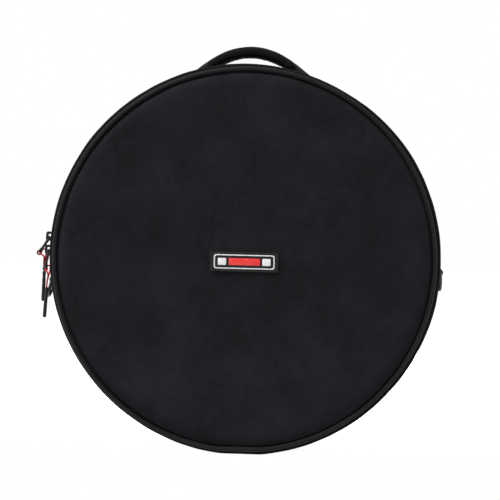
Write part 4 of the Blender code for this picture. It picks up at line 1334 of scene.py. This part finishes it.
# %% [markdown]
# ## Sliders
# Each slider is cast zinc: a plate that rides over both coils and is wider where they come in, a
# flange behind the body's coil, and an arched crown that holds the tab. The parts are cut from
# flat outlines, rounded, and fused with a Boolean union, as a casting has no joints.
# %% Sliders
SLIDER_ANGLES = {"upper": -84.761, "lower": -88.619}
WIDE_END = {"upper": 1, "lower": -1}
SLIDER_HALF, SLIDER_HALF_WIDTH = 0.00665, 0.0035
FLANGE_FROM, FLANGE_TO = 0.00295, 0.00435
CROWN_HALF, CROWN_WIDE, CROWN_ROOF = 0.0049, 0.0030, 0.0063
CROWN_FOOT, CROWN_POST, CROWN_CEILING = -0.0004, 0.0026, 0.0037


def cut_plate(name, outline, thickness, rounding, over=35):
    """A plate cut to an outline of (x, z) points, centred on y, with rounded edges."""
    plate = draw(name, [(x, -thickness / 2, z) for x, z in outline])
    edit(plate)
    bpy.ops.mesh.edge_face_add()
    bpy.ops.mesh.extrude_region_move(TRANSFORM_OT_translate={"value": (0, thickness, 0)})
    close()
    outwards(plate)
    return ease(plate, rounding, over=over) if rounding else plate


def slider_plate(wide_end):
    """The top plate, drawn flat: wide at the end where the coils come in."""
    edge = [(-1, 0.70), (-0.55, 0.82), (-0.05, 0.86), (0.35, 1), (0.85, 1), (1, 0.62)]
    edge = [(x * SLIDER_HALF * wide_end, z * SLIDER_HALF_WIDTH) for x, z in edge]
    outline = [(x, -z) for x, z in edge] + edge[::-1]
    plate = cut_plate("slider_plate", outline, PLATE_TOP - PLATE_UNDER, 0.00035)
    return place_piece(plate, (0, 0, (PLATE_TOP + PLATE_UNDER) / 2), 90, "X")


def slider_flange():
    e, low, high = SLIDER_HALF * 0.92, TAPE_OUTSIDE + 0.0003 - PLATE_UNDER, 0.0007
    outline = rounded([(-e, low), (e, low), (e, high), (-e, high)], 0.0012)
    flange = cut_plate("slider_flange", outline, FLANGE_TO - FLANGE_FROM, 0.0003)
    return place_piece(flange, (0, (FLANGE_FROM + FLANGE_TO) / 2, PLATE_UNDER))


def slider_crown():
    """The arch over the plate that the tab's bar hangs in."""
    half, post = CROWN_HALF, CROWN_HALF - CROWN_POST
    outer = rounded([(-half, CROWN_FOOT), (-half, CROWN_ROOF), (half, CROWN_ROOF),
                     (half, CROWN_FOOT)], 0.0026, 5, closed=False)
    inner = rounded([(post, CROWN_FOOT), (post, CROWN_CEILING), (-post, CROWN_CEILING),
                     (-post, CROWN_FOOT)], 0.0012, 4, closed=False)
    crown = cut_plate("slider_crown", outer + inner, CROWN_WIDE, 0.0006)
    rows = points_of(crown)
    rows[:, 1] *= 0.80 + 0.20 * np.abs(rows[:, 0]) / half
    return place_piece(put_points(crown, rows), (0, 0, PLATE_TOP))


for word, angle in SLIDER_ANGLES.items():
    combine(combine(slider_plate(WIDE_END[word]), slider_flange()), slider_crown())
    slider = map_box(named(f"{word}_slider_casting"))
    place_piece(slider, (0, ZIP, MIDDLE), angle)
    complete(slider, f"{word}_slider", "slider_metal", slider_enamel, f"{word}_slider", sharp_over=30)

# %% [markdown]
# A tab hangs in its crown. Its head is an open frame, its stem is narrow and rounded like a rod,
# and its foot is a drilled bead for the cord. The frame is cut with its slot; the bead is a slice
# of a ball, spun round its hole, which runs from front to back. The neck above it is spun on the
# stem and swells towards the bead like the neck of a bottle.
# %% Tabs
TAB_LEAN = {"upper": 33.0, "lower": 10.0}
TAB_THICK = 0.0026
BEAD_PLACE = -0.0198
BEAD_RADIUS, BEAD_HALF, BEAD_BORE = 0.0029, 0.0018, 0.0010


def tab_frame():
    """Head and stem in one outline of (y, z), with a slot cut in the head."""
    outer = [(0.0034, 0.0012), (0.0034, -0.0058), (0.0014, -0.0096), (0.0014, -0.0180)]
    slot = [(0.0021, -0.0012), (0.0021, -0.0051), (0.0012, -0.0060)]
    outer, slot = (half + [(-y, z) for y, z in half[::-1]] for half in (outer, slot))
    frame_plate = cut_plate("tab_frame", rounded(outer, 0.0014), TAB_THICK, 0)
    combine(frame_plate, cut_plate("tab_slot", rounded(slot, 0.0007, 2), 3 * TAB_THICK, 0),
            "DIFFERENCE")
    return ease(frame_plate, 0.00060, 3)


def tab_bead():
    turns = [asin(BEAD_HALF / BEAD_RADIUS) * (i / 6 - 1) for i in range(13)]
    section = [(BEAD_RADIUS * cos(t), BEAD_RADIUS * sin(t)) for t in turns]
    mouth = [(BEAD_BORE + 0.0004, BEAD_HALF), (BEAD_BORE + 0.0001, BEAD_HALF * 0.85),
             (BEAD_BORE, BEAD_HALF * 0.6)]
    section += mouth + [(radius, -height) for radius, height in reversed(mouth)]
    return place_piece(turned("tab_bead", section, 36, closed=True), (0, 0, BEAD_PLACE), 90)


def tab_neck():
    return turned("tab_neck", [(0, -0.0122), (0.0011, -0.0123), (0.0015, -0.0138), (0.0019, -0.0158),
                               (0.0021, -0.0174), (0.0021, -0.0184), (0, -0.0186)])


for word, lean in TAB_LEAN.items():
    combine(combine(tab_frame(), tab_bead()), tab_neck())
    tab = map_box(named(f"{word}_tab_casting"))
    place_piece(place_piece(tab, (0, 0, 0), 90, "Z"), joint_place(f"{word}_tab_swing"), lean)
    complete(tab, f"{word}_tab", "tab_metal", tab_nickel, f"{word}_pull_tab", sharp_over=30)

# %% [markdown]
# ## Carry handle
# The handle is one strap of webbing sewn on the band at both ends, with a padded cloth sleeve round
# its middle. The strap's line is an arch above the band that comes down to two patches. Where the
# handle leans, the real strap twists near its feet; here each end piece rides on neither the handle
# nor the bag and stays where it is made.
# %% Line of the strap
HANDLE_HALF_SPAN = 0.064
HANDLE_LIFT, HANDLE_END_LIFT = 0.0211, 0.0048
FOOT_LANDING, FOOT_END = 0.012, 0.098
WEBBING_WIDTH, WEBBING_THICK = 0.025, 0.0022
ON_PATCH = 0.0027
CORE_HALF = 0.044


def strap_height(x):
    """Height of the strap's middle at a distance to the left or right of the bag's middle."""
    x = abs(x)
    band_top = MIDDLE + sqrt(RADIUS ** 2 - x ** 2)
    if x <= HANDLE_HALF_SPAN:
        share = 1 - (x / HANDLE_HALF_SPAN) ** 2
        return band_top + HANDLE_END_LIFT + (HANDLE_LIFT - HANDLE_END_LIFT) * share ** 1.5
    share = min(1.0, (x - HANDLE_HALF_SPAN) / FOOT_LANDING)
    ease_in = share * share * (3 - 2 * share)
    landed = MIDDLE + sqrt((RADIUS + ON_PATCH) ** 2 - x ** 2)
    return band_top + HANDLE_END_LIFT * (1 - ease_in) + (landed - band_top) * ease_in


def strap_route(start, end, steps):
    """Places along the strap between two distances, from left to right."""
    xs = [start + (end - start) * i / steps for i in range(steps + 1)]
    return [(x, HANDLE_Y, strap_height(x)) for x in xs]


core = strap("handle_core_webbing", strap_route(-CORE_HALF, CORE_HALF, 40), WEBBING_WIDTH,
             WEBBING_THICK, 40)
complete(core, "handle", "webbing", webbing, "handle_webbing")

# %% [markdown]
# Each end of the strap lies on a cloth patch that is sewn to the band along its edge. The strap is
# folded double between the grip and the patch, and a box of stitches with a cross holds its foot.
# %% Strap ends and their patches
PATCH_ANGLE = 27.35
PATCH_LENGTH, PATCH_WIDTH, PATCH_THICK = 0.036, 0.040, 0.0010
PATCH_HEM = 0.0022
ON_CLOTH = 0.0015
BOX_NEAR, BOX_FAR, BOX_HALF = 0.0790, 0.0955, 0.0098


def end_padding(x):
    """Half of what the folded layers add to the strap between the grip and the patches."""
    rest = np.clip((0.0750 - x) / 0.0290, 0, 1)
    return 0.0037 * rest * rest * (3 - 2 * rest) * (x > 0.0445)


def sewn(name, body, slot, lines, surface, pitch):
    """Stitch rows along straight lines between (s, y) places, laid on a surface rule."""
    shares = np.linspace(0, 1, 60)
    rows = [stitch_row(name, [surface(a + (c - a) * t, b + (d - b) * t) for t in shares], pitch=pitch)
            for (a, b), (c, d) in lines]
    complete(joined(name, rows), body, slot, thread)


def box_lines(near, far, half, crossed=True):
    """The four sides of a box, and the cross in it."""
    a, b, c, d = (near, -half), (far, -half), (far, half), (near, half)
    return [(a, b), (b, c), (c, d), (d, a)] + [(a, c), (b, d)] * crossed


for word, side in SIDES:
    middle = radians(side * PATCH_ANGLE)
    cloth = patch(f"handle_patch_{word}", middle, PATCH_LENGTH, HANDLE_Y, PATCH_WIDTH, 0.0003,
                  PATCH_THICK)
    complete(cloth, "bag", "band_fabric", band_cloth, f"handle_anchor_{word}")
    edge = PATCH_LENGTH / 2 - PATCH_HEM
    sewn(f"handle_patch_stitches_{word}", "bag", "band_fabric",
         box_lines(-edge, edge, PATCH_WIDTH / 2 - PATCH_HEM, crossed=False),
         lambda s, y: at(RADIUS + ON_CLOTH, middle + s / RADIUS, HANDLE_Y + y), 0.0031)
    start, end = sorted((side * 0.043, side * FOOT_END))
    foot = strap(f"handle_end_{word}", strap_route(start, end, 48), WEBBING_WIDTH, WEBBING_THICK, 48,
                 padding=end_padding)
    complete(foot, None, "webbing", webbing, f"handle_foot_{word}")
    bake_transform(foot)
    sewn(f"handle_foot_stitches_{word}", "bag", "webbing",
         box_lines(*sorted((side * BOX_NEAR, side * BOX_FAR)), BOX_HALF),
         lambda s, y: Vector((s, HANDLE_Y + y, strap_height(s) + WEBBING_THICK / 2 + 0.00012)), 0.0030)

# %% [markdown]
# The grip is a sleeve of the same cloth over foam, thickest in the middle. Its surface runs along
# the outside, rolls in at each end to the strap, and comes back through the tunnel that the strap
# lies in, so it is one closed skin. The arch squeezes its underside, which is why that side has
# small creases across it. The long seam is underneath, and each end is hemmed.
# %% Grip
GRIP_HALF, GRIP_HALF_WIDE = 0.046, 0.0158
GRIP_MIDDLE_THICK, GRIP_END_THICK = 0.0118, 0.0100
GRIP_ROLL = 0.0035
GRIP_STEPS, GRIP_AROUND = 38, 40
TUNNEL_HALF_WIDE, TUNNEL_HALF_THICK = 0.0128, 0.0014
HEM_PLACE = 0.0385


def sleeve_size(share):
    """Half width and half thickness at a share of the sleeve's half length from its middle."""
    wide = GRIP_HALF_WIDE * (1 - 0.05 * (1 - abs(share)) + 0.03 * share ** 4)
    return wide, (GRIP_MIDDLE_THICK - (GRIP_MIDDLE_THICK - GRIP_END_THICK) * share ** 4) / 2


def squared(turn):
    """Cosine and sine pushed outwards, so that the sleeve's section is a rounded box."""
    return [np.sign(value) * np.abs(value) ** 0.62 for value in (np.cos(turn), np.sin(turn))]


def on_sleeve(x, across, height):
    """Places at distances from the bag's middle, across the strap's line and above it."""
    route = strap_route(-0.0600, 0.0600, 120)
    lengths, rows, _ = route_frame(route)
    places = on_route(route, np.interp(x, rows[:, 0], lengths), height)
    places[:, 1] += across
    return places


def grip_stations():
    """Distance from the middle, half width and half thickness along the skin, out and back."""
    shares = [i / GRIP_STEPS - 1 for i in range(2 * GRIP_STEPS + 1)]
    outside = [(share * (GRIP_HALF - GRIP_ROLL), *sleeve_size(share)) for share in shares]
    wide, thick = TUNNEL_HALF_WIDE, TUNNEL_HALF_THICK
    rolled = [(GRIP_HALF - GRIP_ROLL + GRIP_ROLL * sin(t),
               wide + (GRIP_HALF_WIDE * 1.03 - wide) * cos(t),
               thick + (GRIP_END_THICK / 2 - thick) * cos(t))
              for t in (pi / 2 * i / 5 for i in range(1, 6))]
    tunnel = [(share * (GRIP_HALF - 0.002), wide, thick) for share in (1, 0.6, 0.2, -0.2, -0.6, -1)]
    return outside + rolled + tunnel + [(-x, *size) for x, *size in reversed(rolled)]


def grip_skin():
    stations = np.array(grip_stations())
    count = len(stations)
    skin = flat_grid("handle_grip_cover", count, GRIP_AROUND)
    flat = points_of(skin)
    which = np.round(flat[:, 0] * count).astype(int) % count
    turn = flat[:, 1] * tau
    x, wide, half = stations[which].T
    across, up = squared(turn)
    outer = which <= 2 * GRIP_STEPS
    spot = np.stack([x, across * 0.02, up * 0.02], axis=1)
    under = np.clip(-np.sin(turn), 0, 1)
    creases = 0.00065 * under * np.minimum(0, waves(spot * [6.5, 1.6, 1.0], 0.022, 61))
    swell = 0.00035 * waves(spot, 0.012, 62) + creases
    seam = -0.0006 * bell(turn - 1.5 * pi, 0.07)
    map_copy_of(skin, flat[:, :2] * [0.2, 0.075])
    wide = wide * (1 + outer * 0.012 * waves(spot, 0.02, 63))
    return outwards(put_points(skin, on_sleeve(x, across * wide, up * (half + outer * (swell + seam)))))


grip = grip_skin()
complete(grip, "handle", "grip_fabric", grip_cloth, "handle_grip", sharp_over=60)

for word, side in SIDES:
    x = np.full(90, side * HEM_PLACE)
    wide, half = sleeve_size(side * HEM_PLACE / (GRIP_HALF - GRIP_ROLL))
    across, up = squared(np.linspace(0, tau, 90))
    places = on_sleeve(x, across * (wide + 0.0001), up * (half + 0.0001))
    middle = Vector(on_sleeve(x[:1], 0, 0)[0])
    row = stitch_row(f"handle_grip_hem_{word}", places, lambda place: (place - middle).normalized(),
                     0.0032)
    complete(row, "handle", "grip_fabric", thread)

# %% [markdown]
# ## Rings for a shoulder strap
# A moulded D-ring hangs at each side: a straight bar, two short shoulders and a half circle.
# %% D-rings
RING_ANGLES = {"left": -97.5, "right": 92.5}
RING_LEANS = {"left": 15.0, "right": -2.0}
RING_HALF, RING_SHOULDER, RING_WIRE = 0.0135, 0.0045, 0.00175

bow = [(RING_HALF * cos(t), -RING_SHOULDER - RING_HALF * sin(t))
       for t in (pi * i / 28 for i in range(29))]
bar = [(RING_HALF * (i / 4 - 1), 0) for i in range(9)]
route = [Vector((0, y, z)) for y, z in rounded([bar[-1], *bow, *bar[:-1]], 0.0020)]
places = route[:1]
for place in route[1:]:
    if min((place - places[-1]).length, (place - places[0]).length) > 0.0002:
        places.append(place)

for word, lean in RING_LEANS.items():
    ring = map_box(tube(f"{word}_d_ring_moulding", places, RING_WIRE, closed=True))
    place_piece(ring, joint_place(f"ring_{word}_swing"), lean)
    complete(ring, f"ring_{word}", "ring_plastic", ring_plastic, f"d_ring_{word}", sharp_over=60)

# %% [markdown]
# Each ring hangs in a loop of webbing. The webbing lies on the band, goes round the ring's bar and
# comes back over itself, and a box of stitches and a bar tack hold both layers.
# %% Webbing loops
LOOP_WIDTH, LOOP_LAYER = 0.022, 0.0011
LOOP_BORE = 0.00205
LOOP_TAIL = 0.026
LOOP_LOW = -0.0042


def loop_line():
    """The webbing's middle line, as (along the band, outwards) from the ring's bar."""
    turn_radius = LOOP_BORE + LOOP_LAYER / 2
    low, high = LOOP_LOW + LOOP_LAYER / 2, LOOP_LOW + LOOP_LAYER * 1.5 + 0.0001
    tail = [LOOP_TAIL - (LOOP_TAIL - 0.006) * i / 14 for i in range(15)]
    turns = [radians(-80 - 200 * i / 14) for i in range(15)]
    return ([(u, low - u * u / (2 * RADIUS)) for u in tail] + [(0.003, low)]
            + [(turn_radius * cos(t), turn_radius * sin(t)) for t in turns]
            + [(0.0030, 0.0010), (0.0045, -0.0012)]
            + [(u, high - u * u / (2 * RADIUS)) for u in reversed(tail)])


for word, side in SIDES:
    middle = joint_place(f"ring_{word}_swing")
    outward = from_axis(at(1, radians(RING_ANGLES[word]), 0))
    upward = Vector((outward.z, 0, -outward.x)) * -side
    line = smooth_route([Vector((u, 0, v)) for u, v in loop_line()], 0.0007)
    route = [middle + upward * place.x + outward * place.z for place in line]
    loop = strap(f"{word}_loop_webbing", route, LOOP_WIDTH, LOOP_LAYER, 90, edge=0.0003)
    complete(loop, "bag", "webbing", webbing, f"d_ring_loop_{word}")
    tack = [((u, -0.0095), (u, 0.0095)) for u in (0.0076, 0.0082)]
    sewn(f"{word}_loop_stitches", "bag", "webbing", box_lines(0.0095, 0.0238, 0.0088) + tack,
         lambda u, y: middle + upward * u + Vector((0, y, 0))
         + outward * (LOOP_LOW + 2 * LOOP_LAYER + 0.0003 - u * u / (2 * RADIUS)), 0.0028)

# %% [markdown]
# ## Name plate
# A flat piece of black rubber on the lid, with a moulded pale rim and plain raised bars in red and
# pale. It is cut to a rounded outline, and its top edge is eased. The rim is one outline inside
# another, and the bars are let into the rubber, so that they stand up by less than half a
# millimetre.
# %% Name plate
PLATE_HALF, PLATE_CORNER = (0.0350, 0.0101), 0.0016
PLATE_BACK, PLATE_FACE = FRONT - 0.0003, FRONT - 0.0023
PLATE_MIDDLE = MIDDLE - 0.0026
PLATE_EASED, RAISED_EASED = 0.0004, 0.00018
RIM_HALF, RIM_CORNER, RIM_WIDE = (0.0310, 0.0073), 0.0027, 0.0011
RAISED, LET_IN = 0.00040, 0.0004
BARS = ((-0.0227, 0.0042, plate_pale), (0.0, 0.0160, plate_red), (0.0227, 0.0042, plate_pale))
BAR_HALF_TALL, BAR_CORNER = 0.0036, 0.0009


def block(name, half_wide, half_tall, corner, thickness, rounding=0, middle=0.0):
    """A plate with rounded corners."""
    corners = [(middle - half_wide, -half_tall), (middle + half_wide, -half_tall),
               (middle + half_wide, half_tall), (middle - half_wide, half_tall)]
    return cut_plate(name, rounded(corners, corner, 5), thickness, rounding)


def on_plate(piece, material, low=PLATE_FACE + LET_IN, high=PLATE_FACE - RAISED, *nodes):
    """Puts a cut plate on the lid, between two depths."""
    map_front(place_piece(piece, (0, (low + high) / 2, PLATE_MIDDLE)))
    complete(piece, "lid", "plate_rubber", material, *nodes, sharp_over=50 if nodes else 40)


plate = block("lid_name_plate", *PLATE_HALF, PLATE_CORNER, PLATE_BACK - PLATE_FACE)
on_plate(ease(plate, PLATE_EASED, 3), plate_rubber, PLATE_BACK, PLATE_FACE, "name_plate")
rim = block("plate_rim", *RIM_HALF, RIM_CORNER, RAISED + LET_IN)
inside = block("rim_inside", RIM_HALF[0] - RIM_WIDE, RIM_HALF[1] - RIM_WIDE,
               RIM_CORNER - RIM_WIDE / 2, 0.004)
on_plate(ease(combine(rim, inside, "DIFFERENCE"), RAISED_EASED), plate_pale)
for index, (middle, half_wide, material) in enumerate(BARS):
    bar = block(f"plate_bar_{index}", half_wide, BAR_HALF_TALL, BAR_CORNER, RAISED + LET_IN,
                RAISED_EASED, middle)
    on_plate(bar, material)
